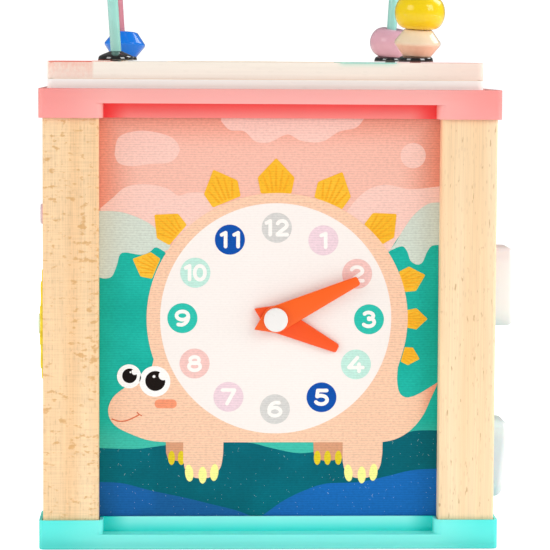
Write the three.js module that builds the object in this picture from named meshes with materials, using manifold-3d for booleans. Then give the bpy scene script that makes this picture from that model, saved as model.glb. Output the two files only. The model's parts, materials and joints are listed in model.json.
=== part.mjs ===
// Baby activity cube: a square wooden box with a toy clock on the front, meshing gears on the
// left, two track sliders on the right, three turning blocks on the back and a bead maze on top.
// Millimetres, +Z up. The origin is the centre of the underside, which stands on the floor.
// The clock faces -Y, the gears -X, the sliders +X and the turning blocks +Y.
import * as THREE from "three";
import { mergeVertices } from "three/addons/utils/BufferGeometryUtils.js";
import Module from "manifold-3d";

const wasm = await Module();
wasm.setup();

// ---------------------------------------------------------------- driving dimensions

const CUBE = 160; // outer width, depth and height of the box between its two plastic frames
const GAP = 0.3; // running and fitting gap between neighbouring pieces

const FRAME_HEIGHT = 10.2; // height of a frame's corner cups
const FRAME_BAND = 5.1; // height of a frame's outer band between the cups
const FRAME_RECESS = 8; // how far the wall above the band is set back
const FRAME_WALL = 1.2; // thickness of that wall
const FRAME_CORNER = 2; // radius of the vertical outer corners
const CUP_FILLET = 3; // radius of a cup's inner vertical edges
const FRAME_OPENING = 106; // clear width inside the frames

const POST = 19.3; // corner posts are square
const POST_INSET = 1.4; // a post's faces stand this far inside the frames' faces
const POST_CHAMFER = 0.7;
const GROOVE_DEPTH = 2.6; // grooves in the posts hold the panels

const PANEL_THICKNESS = 3;
const PANEL_FACE = 70.4; // distance of a panel's outer face from the cube's axis

const BASE_BOARD = 114.4;
const BASE_BOARD_THICKNESS = 4;

const LID = 151; // the two boards that carry the maze
const LID_SHIFT = -1.6; // the boards sit a little off centre in their pocket
const LID_CORNER = 2.5;
const LID_PRINTED_THICKNESS = 5.8;
const LID_BACKING_THICKNESS = 4.8;
const LID_POCKET = 154.8;
const LID_POCKET_DEPTH = 2;

const SCREW_SHANK = 2.7;
const SCREW_HEAD = 6.4;
const SCREW_HEAD_HEIGHT = 1.8;
const SCREW_LENGTH = 20;

const CLOCK_X = 2.2; // centre of the dial on the front panel
const CLOCK_Z = 79.8;
const HAND_THICKNESS = 1.45;
const HAND_HUB = 4.65; // radius of a hand round its pivot
const HAND_TAIL = 8.2; // length of the pointed tail
const HAND_TIP_WIDTH = 3.3;
const HOUR_HAND_LENGTH = 24.2;
const MINUTE_HAND_LENGTH = 32;
const HOUR_HAND_ANGLE = -25.7; // degrees above the horizontal, towards +X, at rest
const MINUTE_HAND_ANGLE = 25.4;

const PIN_SHANK = 5; // pins that the hands and the gears turn on
const CLOCK_PIN_HEAD = 8.3;
const GEAR_PIN_HEAD = 7.4;
const PIN_TAIL = 6.6; // length of a pin behind its panel's outer face

const TOOTH_PITCH = 10.28; // along the pitch circle
const TOOTH_HEIGHT = 4.6;
const GEAR_FACE = 10.35; // height of a gear's outer face above its panel
const GEAR_THICKNESS = 7.8;
const GEAR_BOSS = 13; // diameter of the raised boss on a gear's back
const GEAR_PLAY = 0.5; // added to the distance between meshing gears
// Places across and up a side face, as seen by someone looking at that face.
const FRONT_GEAR = { teeth: 11, across: 37, up: 74.6 };
const UPPER_GEAR = { teeth: 8, across: 20.7, up: 113.4 };
const LARGE_GEAR = { teeth: 16 };

const SLIDER = 28.4; // a square slider's width and height
const SLIDER_THICKNESS = 15.3;
const SLIDER_FACE = 19.2; // height of a slider's outer face above its panel
const SLIDER_EDGE = 3; // radius of its edges
const SLIDER_CORNER = 4; // radius of its corners
const SLIDER_NECK = 6.2;
const SLOT_WIDTH = 7.8;
const ARCH_TRACK = { up: 88.9, radius: 36 };
const STRAIGHT_TRACK = { up: 25.1, reach: 38 };
const STRAIGHT_SLIDER_ACROSS = -16; // where the lower slider stands at rest
const STRAIGHT_SLIDER_DROOP = 6; // degrees that the loose lower slider hangs from level

const BLOCK = 29; // turning blocks
const BLOCK_EDGE = 2.5;
const BLOCK_SPACING = 30.5;
const BLOCK_UP = 80;
const BLOCK_ROD = 5;
const BLOCK_ROD_DEPTH = 64; // the rod's distance from the cube's axis
const WINDOW = { width: 93, height: 39.6 };
const CLEAT = { width: 8, height: 20, depth: 9 };
const CLEAT_SPACING = 104; // between the middles of the two cleats

const MAZE_FOOT = 53; // a wire's feet stand this far from the maze's centre along X and Y
const MAZE_SHIFT = -0.9; // the maze's centre along X
const WIRE = 3.8;
const WIRE_SIDES = 8;
const WIRE_STEP = 5; // length of a straight step along a wire
const WIRE_SPREAD = 0.09; // a leg leans outwards by this much for each millimetre up
const PLUG = { radius: 6.4, height: 3.6, bore: 2.2 };
const BEAD_BORE = 5.9;
const ROUND_BEAD = { diameter: 17.2, height: 11.4, flat: 9 };
const EDGED_BEAD = { diameter: 15.9, height: 9.7, flat: 9.6 };

// ---------------------------------------------------------------- derived dimensions

const HALF = CUBE / 2;
const POST_OUTER = HALF - POST_INSET;
const POST_INNER = POST_OUTER - POST;
const POST_CENTRE = (POST_OUTER + POST_INNER) / 2;
const CUP_INNER = POST_INNER - GAP - FRAME_WALL;
const WALL_FACE = HALF - FRAME_RECESS;
const PANEL_BACK = PANEL_FACE - PANEL_THICKNESS;
const PANEL_HALF_WIDTH = POST_INNER + GROOVE_DEPTH - GAP;
const PANEL_BOTTOM = 4.5;
const SLOT_FLOOR = PANEL_BOTTOM - GAP;
const LID_BACKING_BOTTOM = CUBE - LID_POCKET_DEPTH + GAP;
const LID_PRINTED_BOTTOM = LID_BACKING_BOTTOM + LID_BACKING_THICKNESS + GAP;
const LID_TOP = LID_PRINTED_BOTTOM + LID_PRINTED_THICKNESS;
const QUARTER = Math.PI / 2;

const COLOURS = {
  mint: [0x7cf2e8, 0.35],
  pink: [0xfbb0a8, 0.35],
  wood: [0xf2cf9f, 0.6],
  plywood: [0xf6e6d2, 0.65],
  print: [0xf2b8a4, 0.55],
  white: [0xfafaf6, 0.4],
  orange: [0xff6a1f, 0.4],
  redOrange: [0xff4d1f, 0.4],
  yellow: [0xf0cf2c, 0.4],
  blue: [0x1a6fd0, 0.25],
  teal: [0x2fb5a5, 0.3],
  peach: [0xffc79a, 0.25],
  mauve: [0xcf9fb4, 0.25],
  sunny: [0xffd51a, 0.25],
  green: [0x9fd8b4, 0.25],
  black: [0x141414, 0.2],
};

function material(colour, metalness = 0) {
  const [color, roughness] = COLOURS[colour];
  return new THREE.MeshStandardMaterial({ color, roughness, metalness });
}

const STEEL = new THREE.MeshStandardMaterial({ color: 0xb9bcc0, roughness: 0.35, metalness: 1 });

// ---------------------------------------------------------------- solid helpers

function merged(geometry) {
  const copy = geometry.clone();
  copy.deleteAttribute("normal");
  copy.deleteAttribute("uv");
  return mergeVertices(copy, 1e-4);
}

// A closed geometry as a Manifold solid, with its faces turned outwards.
function solid(geometry) {
  const welded = merged(geometry);
  const triVerts = Uint32Array.from(welded.index.array);
  const vertProperties = Float32Array.from(welded.attributes.position.array);
  if (signedVolume(vertProperties, triVerts) < 0) {
    for (let i = 0; i < triVerts.length; i += 3) {
      [triVerts[i + 1], triVerts[i + 2]] = [triVerts[i + 2], triVerts[i + 1]];
    }
  }
  return new wasm.Manifold(new wasm.Mesh({ numProp: 3, vertProperties, triVerts }));
}

function signedVolume(positions, indices) {
  const corner = (i) => new THREE.Vector3().fromArray(positions, 3 * indices[i]);
  let volume = 0;
  for (let i = 0; i < indices.length; i += 3) {
    volume += corner(i).dot(corner(i + 1).cross(corner(i + 2)));
  }
  return volume;
}

function geometryOf(manifold) {
  const mesh = manifold.getMesh();
  const geometry = new THREE.BufferGeometry();
  geometry.setAttribute("position", new THREE.BufferAttribute(mesh.vertProperties, 3));
  geometry.setIndex(new THREE.BufferAttribute(mesh.triVerts, 1));
  geometry.computeVertexNormals();
  return geometry;
}

// The first geometry with the others cut out of it.
function cut(geometry, ...tools) {
  return geometryOf(tools.reduce((body, tool) => body.subtract(solid(tool)), solid(geometry)));
}

function join(...geometries) {
  return geometryOf(geometries.map(solid).reduce((body, other) => body.add(other)));
}

function part(name, geometry, surface) {
  const mesh = new THREE.Mesh(geometryOf(solid(geometry)), surface);
  mesh.name = name;
  return mesh;
}

// ---------------------------------------------------------------- shape helpers

function extruded(shape, depth, curveSegments = 4) {
  return new THREE.ExtrudeGeometry(shape, { depth, bevelEnabled: false, curveSegments });
}

function rectangle(width, height, x = 0, y = 0) {
  const shape = new THREE.Shape();
  shape.moveTo(x - width / 2, y - height / 2);
  shape.lineTo(x + width / 2, y - height / 2);
  shape.lineTo(x + width / 2, y + height / 2);
  shape.lineTo(x - width / 2, y + height / 2);
  shape.closePath();
  return shape;
}

function roundedSquare(width, radius) {
  const half = width / 2;
  const inner = half - radius;
  const shape = new THREE.Shape();
  shape.absarc(inner, inner, radius, 0, QUARTER);
  shape.absarc(-inner, inner, radius, QUARTER, 2 * QUARTER);
  shape.absarc(-inner, -inner, radius, 2 * QUARTER, 3 * QUARTER);
  shape.absarc(inner, -inner, radius, 3 * QUARTER, 4 * QUARTER);
  shape.closePath();
  return shape;
}

function circle(x, y, radius) {
  const path = new THREE.Path();
  path.absarc(x, y, radius, 0, 4 * QUARTER);
  return path;
}

function box(low, high) {
  const size = high.map((value, axis) => value - low[axis]);
  const centre = high.map((value, axis) => (value + low[axis]) / 2);
  return new THREE.BoxGeometry(...size).translate(...centre);
}

// A turned solid about +Z from [radius, height] points.
function turned(points, segments = 16) {
  const profile = points.map(([radius, height]) => new THREE.Vector2(radius, height));
  return new THREE.LatheGeometry(profile, segments).rotateX(QUARTER);
}

function rod(radius, bottom, top, segments = 16) {
  return turned([[0, bottom], [radius, bottom], [radius, top], [0, top]], segments);
}

function ring(outer, bore, bottom, top, segments = 16) {
  const points = [[bore, bottom], [outer, bottom], [outer, top], [bore, top], [bore, bottom]];
  return turned(points, segments);
}

// Something drawn in XY with its height along +Z, turned to stand on the front panel: X stays
// across, Y becomes up, and height is measured outwards from the panel's outer face.
function onPanel(geometry, across = 0, up = 0, height = 0) {
  return geometry.rotateX(QUARTER).translate(across, -PANEL_FACE - height, up);
}

function fourTimes(make) {
  return [0, 1, 2, 3].map((turn) => make(turn).rotateZ(turn * QUARTER));
}

// ---------------------------------------------------------------- frames, posts and boards

// The space above the band between two cups, on the -Y side, flaring at the cups' fillets.
function notch() {
  const shape = new THREE.Shape();
  const mouth = HALF + 1;
  shape.moveTo(CUP_INNER, -WALL_FACE);
  shape.lineTo(CUP_INNER, -HALF + CUP_FILLET);
  shape.absarc(CUP_INNER + CUP_FILLET, -HALF + CUP_FILLET, CUP_FILLET, 2 * QUARTER, 3 * QUARTER);
  shape.lineTo(CUP_INNER + CUP_FILLET, -mouth);
  shape.lineTo(-CUP_INNER - CUP_FILLET, -mouth);
  shape.lineTo(-CUP_INNER - CUP_FILLET, -HALF);
  shape.absarc(-CUP_INNER - CUP_FILLET, -HALF + CUP_FILLET, CUP_FILLET, 3 * QUARTER, 4 * QUARTER);
  shape.lineTo(-CUP_INNER, -WALL_FACE);
  return extruded(shape, FRAME_HEIGHT, 2).translate(0, 0, FRAME_BAND);
}

function panelSlot() {
  const outer = WALL_FACE - FRAME_WALL;
  const reach = PANEL_HALF_WIDTH + GAP;
  return box([-reach, -outer, SLOT_FLOOR], [reach, -PANEL_BACK + GAP, FRAME_HEIGHT + 1]);
}

function cornerSocket() {
  const low = POST_INNER - GAP;
  const high = POST_OUTER + GAP;
  return box([low, low, FRAME_BAND], [high, high, FRAME_HEIGHT + 1]);
}

// A countersunk hole for a post screw, entered from below at the given height.
function screwHole(entry) {
  const bore = SCREW_SHANK / 2 + GAP;
  const head = SCREW_HEAD / 2 + GAP;
  const shoulder = entry + SCREW_HEAD_HEIGHT + GAP;
  const points = [
    [0, -1],
    [head, -1],
    [head, entry + GAP],
    [bore, shoulder],
    [bore, FRAME_HEIGHT],
    [0, FRAME_HEIGHT],
  ];
  return turned(points, 12).translate(POST_CENTRE, POST_CENTRE, 0);
}

// One moulded frame lying with its outer face at z = 0 and its cups opening upwards. The pocket
// in its outer face takes a board.
function frame(pocketWidth, pocketDepth) {
  const outside = extruded(roundedSquare(CUBE, FRAME_CORNER), FRAME_HEIGHT, 2);
  const opening = FRAME_OPENING / 2;
  const pocket = pocketWidth / 2;
  const entry = pocket > POST_CENTRE ? pocketDepth : 0;
  return cut(
    outside,
    ...fourTimes(notch),
    ...fourTimes(panelSlot),
    ...fourTimes(cornerSocket),
    ...fourTimes(() => screwHole(entry)),
    box([-opening, -opening, -1], [opening, opening, FRAME_HEIGHT + 1]),
    box([-pocket, -pocket, -1], [pocket, pocket, pocketDepth]),
  );
}

function baseFrame() {
  const geometry = frame(BASE_BOARD + 2 * GAP, BASE_BOARD_THICKNESS + GAP);
  return part("base_frame", geometry, material("mint"));
}

function topFrame() {
  const mesh = part("top_frame", frame(LID_POCKET, LID_POCKET_DEPTH), material("pink"));
  mesh.rotation.x = Math.PI;
  mesh.position.z = CUBE;
  return mesh;
}

function baseBoard() {
  const geometry = extruded(roundedSquare(BASE_BOARD, 1), BASE_BOARD_THICKNESS, 2);
  return part("base_board", geometry, material("plywood"));
}

function mazeFeet() {
  const signs = [[-1, -1], [1, -1], [1, 1], [-1, 1]];
  return signs.map(([x, y]) => [MAZE_SHIFT + x * MAZE_FOOT, y * MAZE_FOOT]);
}

function lidBoard(name, thickness, bottom) {
  const shape = roundedSquare(LID, LID_CORNER);
  for (const [x, y] of mazeFeet()) {
    shape.holes.push(circle(x - LID_SHIFT, y, WIRE / 2 + GAP));
  }
  const mesh = part(name, extruded(shape, thickness, 4), material("plywood"));
  mesh.position.set(LID_SHIFT, 0, bottom);
  return mesh;
}

// The post at the (+X, +Y) corner, with a groove in each inner face and a pilot hole at each end.
function postGeometry() {
  const grooveOuter = PANEL_FACE + GAP;
  const grooveInner = PANEL_BACK - GAP;
  const grooveFloor = POST_INNER + GROOVE_DEPTH;
  const outline = [
    [POST_INNER, POST_INNER],
    [grooveInner, POST_INNER],
    [grooveInner, grooveFloor],
    [grooveOuter, grooveFloor],
    [grooveOuter, POST_INNER],
    [POST_OUTER - POST_CHAMFER, POST_INNER],
    [POST_OUTER, POST_INNER + POST_CHAMFER],
    [POST_OUTER, POST_OUTER - POST_CHAMFER],
    [POST_OUTER - POST_CHAMFER, POST_OUTER],
    [POST_INNER + POST_CHAMFER, POST_OUTER],
    [POST_INNER, POST_OUTER - POST_CHAMFER],
    [POST_INNER, grooveOuter],
    [grooveFloor, grooveOuter],
    [grooveFloor, grooveInner],
    [POST_INNER, grooveInner],
  ];
  const shape = new THREE.Shape(outline.map(([x, y]) => new THREE.Vector2(x, y)));
  const bottom = FRAME_BAND + GAP;
  const top = CUBE - bottom;
  const pilot = SCREW_SHANK / 2 + GAP;
  const depth = SCREW_LENGTH - FRAME_BAND + 2;
  const holes = [[bottom - 1, bottom + depth], [top - depth, top + 1]].map(([low, high]) =>
    rod(pilot, low, high, 12).translate(POST_CENTRE, POST_CENTRE, 0),
  );
  return cut(extruded(shape, top - bottom).translate(0, 0, bottom), ...holes);
}

function posts() {
  const geometry = postGeometry();
  const names = ["post_back_right", "post_back_left", "post_front_left", "post_front_right"];
  return names.map((name, turn) => {
    const mesh = part(name, geometry, material("wood"));
    mesh.rotation.z = turn * QUARTER;
    return mesh;
  });
}

// A countersunk screw with a cross recess, its head's flat at z = 0 and its shank upwards.
function screwGeometry() {
  const shank = SCREW_SHANK / 2;
  const head = SCREW_HEAD / 2;
  const tip = SCREW_LENGTH - 3;
  const points = [[0, 0], [head, 0], [shank, SCREW_HEAD_HEIGHT], [shank, tip], [0, SCREW_LENGTH]];
  const slot = [2, 0.5, 0.9];
  const across = box([-slot[0], -slot[1], -1], [slot[0], slot[1], slot[2]]);
  const along = box([-slot[1], -slot[0], -1], [slot[1], slot[0], slot[2]]);
  return cut(turned(points, 12), across, along);
}

function postScrews() {
  const geometry = screwGeometry();
  const corners = ["back_right", "back_left", "front_left", "front_right"];
  const meshes = [];
  corners.forEach((corner, turn) => {
    const place = new THREE.Vector3(POST_CENTRE, POST_CENTRE, 0);
    place.applyAxisAngle(new THREE.Vector3(0, 0, 1), turn * QUARTER);
    const bottomScrew = part(`base_screw_${corner}`, geometry, STEEL);
    bottomScrew.position.set(place.x, place.y, GAP);
    const topScrew = part(`top_screw_${corner}`, geometry, STEEL);
    topScrew.rotation.x = Math.PI;
    topScrew.position.set(place.x, place.y, CUBE - LID_POCKET_DEPTH - GAP);
    meshes.push(bottomScrew, topScrew);
  });
  return meshes;
}

// ---------------------------------------------------------------- panels

// A panel standing at the -Y side with the given openings, drawn across and up.
function panel(name, openings, surface) {
  const height = CUBE - 2 * PANEL_BOTTOM;
  const shape = rectangle(2 * PANEL_HALF_WIDTH, height, 0, CUBE / 2);
  shape.holes.push(...openings);
  return part(name, onPanel(extruded(shape, PANEL_THICKNESS, 8), 0, 0, -PANEL_THICKNESS), surface);
}

function pinHole({ across, up }) {
  return circle(across, up, PIN_SHANK / 2 + GAP);
}

// A semicircular slot open at neither end, standing on the line at the track's height.
function archSlot() {
  const { up, radius } = ARCH_TRACK;
  const half = SLOT_WIDTH / 2;
  const path = new THREE.Path();
  path.absarc(0, up, radius + half, 0, 2 * QUARTER);
  path.absarc(-radius, up, half, 2 * QUARTER, 4 * QUARTER);
  path.absarc(0, up, radius - half, 2 * QUARTER, 0, true);
  path.absarc(radius, up, half, 2 * QUARTER, 4 * QUARTER);
  return path;
}

function straightSlot() {
  const { up, reach } = STRAIGHT_TRACK;
  const half = SLOT_WIDTH / 2;
  const path = new THREE.Path();
  path.absarc(reach, up, half, 3 * QUARTER, 5 * QUARTER);
  path.absarc(-reach, up, half, QUARTER, 3 * QUARTER);
  return path;
}

// ---------------------------------------------------------------- pins

// A pin standing in a panel: its domed head's underside is at the given height.
function pin(name, place, headHeight, headThickness, headDiameter, surface) {
  const head = headDiameter / 2;
  const shank = PIN_SHANK / 2;
  const top = headHeight + headThickness;
  const round = headThickness * 0.45;
  const points = [
    [0, -PIN_TAIL],
    [shank, -PIN_TAIL],
    [shank, headHeight],
    [head, headHeight],
    [head, top - round],
    [head - round * 0.3, top - round * 0.3],
    [head - round, top],
    [0, top],
  ];
  return part(name, onPanel(turned(points), place.across, place.up), surface);
}

// The push-on ring that holds a pin behind its panel.
function pinLock(name, place) {
  const front = -PANEL_THICKNESS - GAP;
  const geometry = ring(5.5, PIN_SHANK / 2 + GAP, front - 2.5, front, 16);
  return part(name, onPanel(geometry, place.across, place.up), material("white"));
}

// ---------------------------------------------------------------- clock

const CLOCK = { across: CLOCK_X, up: CLOCK_Z };

// A hand pointing along +X: a pointed tail and a blunt tip, both drawn tangent to the hub.
function handShape(length) {
  const shape = new THREE.Shape();
  const halfTip = HAND_TIP_WIDTH / 2;
  const corner = 0.8;
  const tailAngle = Math.acos(HAND_HUB / HAND_TAIL);
  const tipAngle = Math.acos((HAND_HUB - halfTip) / length);
  shape.moveTo(length, -halfTip + corner);
  shape.lineTo(length, halfTip - corner);
  shape.lineTo(length - corner, halfTip);
  shape.absarc(0, 0, HAND_HUB, tipAngle, Math.PI - tailAngle);
  shape.lineTo(-HAND_TAIL, 0);
  shape.absarc(0, 0, HAND_HUB, Math.PI + tailAngle, 2 * Math.PI - tipAngle);
  shape.lineTo(length - corner, -halfTip);
  shape.closePath();
  shape.holes.push(circle(0, 0, PIN_SHANK / 2 + GAP));
  return shape;
}

function hand(name, length, angle, height, colour) {
  const geometry = extruded(handShape(length), HAND_THICKNESS, 6);
  geometry.rotateZ(THREE.MathUtils.degToRad(angle));
  return part(name, onPanel(geometry, CLOCK_X, CLOCK_Z, height), material(colour));
}

function clock() {
  const hourHeight = GAP;
  const minuteHeight = hourHeight + HAND_THICKNESS + GAP;
  const headHeight = minuteHeight + HAND_THICKNESS + GAP;
  const face = new THREE.Group();
  face.add(
    panel("front_panel", [pinHole(CLOCK)], material("print")),
    hand("clock_hour_hand", HOUR_HAND_LENGTH, HOUR_HAND_ANGLE, hourHeight, "redOrange"),
    hand("clock_minute_hand", MINUTE_HAND_LENGTH, MINUTE_HAND_ANGLE, minuteHeight, "orange"),
    pin("clock_pin", CLOCK, headHeight, 1.8, CLOCK_PIN_HEAD, material("white")),
    pinLock("clock_pin_lock", CLOCK),
  );
  return face;
}

// ---------------------------------------------------------------- gears

function pitchRadius(gear) {
  return (gear.teeth * TOOTH_PITCH) / (2 * Math.PI);
}

// Lobed teeth: the radius swings smoothly between root and tip, narrower at the tip for backlash.
function gearShape(teeth, firstTooth) {
  const middle = pitchRadius({ teeth }) + 0.2;
  const steps = 10 * teeth;
  const sharpness = 1.9;
  const narrowing = 0.3;
  const points = [];
  for (let i = 0; i < steps; i++) {
    const angle = (2 * Math.PI * i) / steps;
    const wave = Math.cos(teeth * (angle - firstTooth)) - narrowing;
    const radius = middle + (TOOTH_HEIGHT / 2) * Math.tanh(sharpness * wave);
    points.push(new THREE.Vector2(radius * Math.cos(angle), radius * Math.sin(angle)));
  }
  return new THREE.Shape(points);
}

function gear(name, place, firstTooth, colour) {
  const back = GEAR_FACE - GEAR_THICKNESS;
  const toothed = extruded(gearShape(place.teeth, firstTooth), GEAR_THICKNESS).translate(0, 0, back);
  const boss = rod(GEAR_BOSS / 2, GAP, back + 1);
  const bore = rod(PIN_SHANK / 2 + GAP, -1, GEAR_FACE + 1);
  const geometry = cut(join(toothed, boss), bore);
  return part(name, onPanel(geometry, place.across, place.up), material(colour));
}

// The large gear's centre stands where it meshes with both small gears, on their far side.
function meshingCentre() {
  const first = new THREE.Vector2(FRONT_GEAR.across, FRONT_GEAR.up);
  const second = new THREE.Vector2(UPPER_GEAR.across, UPPER_GEAR.up);
  const toFirst = pitchRadius(LARGE_GEAR) + pitchRadius(FRONT_GEAR) + GEAR_PLAY;
  const toSecond = pitchRadius(LARGE_GEAR) + pitchRadius(UPPER_GEAR) + GEAR_PLAY;
  const apart = first.distanceTo(second);
  const along = (toFirst ** 2 - toSecond ** 2 + apart ** 2) / (2 * apart);
  const beside = Math.sqrt(toFirst ** 2 - along ** 2);
  const direction = second.clone().sub(first).normalize();
  const centre = first.clone().addScaledVector(direction, along);
  return centre.add(new THREE.Vector2(-direction.y, direction.x).multiplyScalar(beside));
}

function angleBetween(from, to) {
  return Math.atan2(to.up - from.up, to.across - from.across);
}

function gearTrain() {
  const centre = meshingCentre();
  const large = { ...LARGE_GEAR, across: centre.x, up: centre.y };
  // A tooth of the large gear points at the front gear, which shows it a gap. The upper gear is
  // turned until it shows a gap wherever the large gear's nearest tooth then stands.
  const toFront = angleBetween(large, FRONT_GEAR);
  const toUpper = angleBetween(large, UPPER_GEAR);
  const frontPhase = toFront + Math.PI + Math.PI / FRONT_GEAR.teeth;
  const offLine = (toUpper - toFront) * (LARGE_GEAR.teeth / UPPER_GEAR.teeth);
  const upperPhase = toUpper + Math.PI + Math.PI / UPPER_GEAR.teeth + offLine;
  const side = new THREE.Group();
  side.rotation.z = -QUARTER;
  side.add(
    panel("left_panel", [FRONT_GEAR, UPPER_GEAR, large].map(pinHole), material("print")),
    gear("gear_large", large, toFront, "blue"),
    gear("gear_front", FRONT_GEAR, frontPhase, "yellow"),
    gear("gear_upper", UPPER_GEAR, upperPhase, "mauve"),
  );
  const places = { large, front: FRONT_GEAR, upper: UPPER_GEAR };
  for (const [name, place] of Object.entries(places)) {
    const head = GEAR_FACE + GAP;
    side.add(pin(`gear_${name}_pin`, place, head, 1.15, GEAR_PIN_HEAD, material("green")));
    side.add(pinLock(`gear_${name}_lock`, place));
  }
  return side;
}

// ---------------------------------------------------------------- sliders

// A square slider drawn about its own neck, with its foot just behind the panel's back face.
function sliderGeometry() {
  const width = SLIDER - 2 * SLIDER_EDGE;
  const knob = new THREE.ExtrudeGeometry(roundedSquare(width, SLIDER_CORNER), {
    depth: SLIDER_THICKNESS - 2 * SLIDER_EDGE,
    bevelThickness: SLIDER_EDGE,
    bevelSize: SLIDER_EDGE,
    bevelSegments: 3,
    curveSegments: 2,
  });
  knob.translate(0, 0, SLIDER_FACE - SLIDER_THICKNESS + SLIDER_EDGE);
  const neck = rod(SLIDER_NECK / 2, -PANEL_THICKNESS - 2.4, SLIDER_FACE - SLIDER_THICKNESS + 1);
  return join(knob, neck);
}

// The cap on a slider's neck behind the panel, cupped over the neck's end.
function sliderCapGeometry() {
  const front = -PANEL_THICKNESS - 1;
  const neck = SLIDER_NECK / 2 + GAP;
  const floor = -PANEL_THICKNESS - 2.4 - GAP;
  const back = floor - 1.5;
  return turned([[0, back], [6.5, back], [6.5, front], [neck, front], [neck, floor], [0, floor]], 16);
}

function slider(name, across, up, droop) {
  const tilt = THREE.MathUtils.degToRad(droop);
  const knob = part(name, onPanel(sliderGeometry()), material("white"));
  const cap = part(`${name}_cap`, onPanel(sliderCapGeometry()), material("white"));
  // It tips about the middle of the panel's thickness.
  const pivot = new THREE.Group();
  const inside = -PANEL_FACE + PANEL_THICKNESS / 2;
  pivot.position.set(across, inside, up);
  pivot.rotation.x = tilt;
  for (const mesh of [knob, cap]) {
    mesh.position.y = -inside;
    pivot.add(mesh);
  }
  return pivot;
}

function trackSide() {
  const side = new THREE.Group();
  side.rotation.z = QUARTER;
  const lower = STRAIGHT_TRACK.up;
  side.add(
    panel("right_panel", [archSlot(), straightSlot()], material("print")),
    slider("arch_slider", -ARCH_TRACK.radius, ARCH_TRACK.up, 0),
    slider("straight_slider", STRAIGHT_SLIDER_ACROSS, lower, STRAIGHT_SLIDER_DROOP),
  );
  return side;
}

// ---------------------------------------------------------------- turning blocks

function alongX(geometry) {
  return geometry.rotateY(QUARTER);
}

function turningBlock(name, across, colour) {
  const inner = BLOCK - 2 * BLOCK_EDGE;
  const cube = new THREE.ExtrudeGeometry(roundedSquare(inner, 0.5), {
    depth: inner,
    bevelThickness: BLOCK_EDGE,
    bevelSize: BLOCK_EDGE,
    bevelSegments: 2,
    curveSegments: 1,
  });
  cube.translate(0, 0, -inner / 2);
  const bore = rod(BLOCK_ROD / 2 + GAP, -BLOCK, BLOCK, 16);
  const mesh = part(name, alongX(cut(cube, bore)), material(colour));
  mesh.position.set(across, -BLOCK_ROD_DEPTH, BLOCK_UP);
  return mesh;
}

function cleat(name, across) {
  const { width, height, depth } = CLEAT;
  const middle = PANEL_BACK - GAP - depth / 2;
  const low = [across - width / 2, -middle - depth / 2, BLOCK_UP - height / 2];
  const high = [across + width / 2, -middle + depth / 2, BLOCK_UP + height / 2];
  const bore = alongX(rod(BLOCK_ROD / 2 + GAP, -width, width, 16));
  bore.translate(across, -BLOCK_ROD_DEPTH, BLOCK_UP);
  return part(name, cut(box(low, high), bore), material("wood"));
}

function blockSide() {
  const side = new THREE.Group();
  side.rotation.z = 2 * QUARTER;
  const window = rectangle(WINDOW.width, WINDOW.height, 0, BLOCK_UP);
  const rodGeometry = alongX(rod(BLOCK_ROD / 2, -CLEAT_SPACING / 2, CLEAT_SPACING / 2, 16));
  const blockRod = part("block_rod", rodGeometry, material("wood"));
  blockRod.position.set(0, -BLOCK_ROD_DEPTH, BLOCK_UP);
  const cleatAcross = CLEAT_SPACING / 2;
  side.add(
    panel("back_panel", [window], material("print")),
    blockRod,
    cleat("block_rod_cleat_right", cleatAcross),
    cleat("block_rod_cleat_left", -cleatAcross),
    turningBlock("turning_block_left", -BLOCK_SPACING, "teal"),
    turningBlock("turning_block_middle", 0, "sunny"),
    turningBlock("turning_block_right", BLOCK_SPACING, "peach"),
  );
  return side;
}

// ---------------------------------------------------------------- bead maze

// A path of straight lines and arcs: the corners of a polyline rounded at their own radii.
class RoundedPath extends THREE.Curve {
  constructor(corners) {
    super();
    this.pieces = [];
    let start = corners[0].point;
    for (let i = 1; i < corners.length - 1; i++) {
      const { point, radius } = corners[i];
      const incoming = point.clone().sub(corners[i - 1].point).normalize();
      const outgoing = corners[i + 1].point.clone().sub(point).normalize();
      const turn = incoming.angleTo(outgoing);
      const reach = radius * Math.tan(turn / 2);
      const arcStart = point.clone().addScaledVector(incoming, -reach);
      const towards = outgoing.clone().addScaledVector(incoming, -outgoing.dot(incoming)).normalize();
      this.addLine(start, arcStart);
      this.pieces.push({
        length: radius * turn,
        at: (s) => arcStart.clone()
          .addScaledVector(incoming, radius * Math.sin(s / radius))
          .addScaledVector(towards, radius * (1 - Math.cos(s / radius))),
      });
      start = point.clone().addScaledVector(outgoing, reach);
    }
    this.addLine(start, corners.at(-1).point);
    this.total = this.pieces.reduce((sum, piece) => sum + piece.length, 0);
  }

  addLine(from, to) {
    const direction = to.clone().sub(from);
    const length = direction.length();
    direction.normalize();
    this.pieces.push({ length, at: (s) => from.clone().addScaledVector(direction, s) });
  }

  getPoint(t) {
    let s = t * this.total;
    for (const piece of this.pieces) {
      if (s <= piece.length || piece === this.pieces.at(-1)) return piece.at(s);
      s -= piece.length;
    }
  }
}

// Half of each wire's outline as [distance from the centre, height above the lid, radius], from
// its leg to its middle. The legs lean outwards, and the arch stands above the wave's dip.
const FOOT_DISTANCE = MAZE_FOOT * Math.SQRT2;
const LEG_BEND = 4.2; // the height at which a leg leaves the vertical
const ARCH_OUTLINE = [[84, 34], [0, 108, 60]];
const ARCH_SHOULDER = 82;
const WAVE_OUTLINE = [[85.5, 15], [0, 46, 26]];
const WAVE_SHOULDER = 92;

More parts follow.
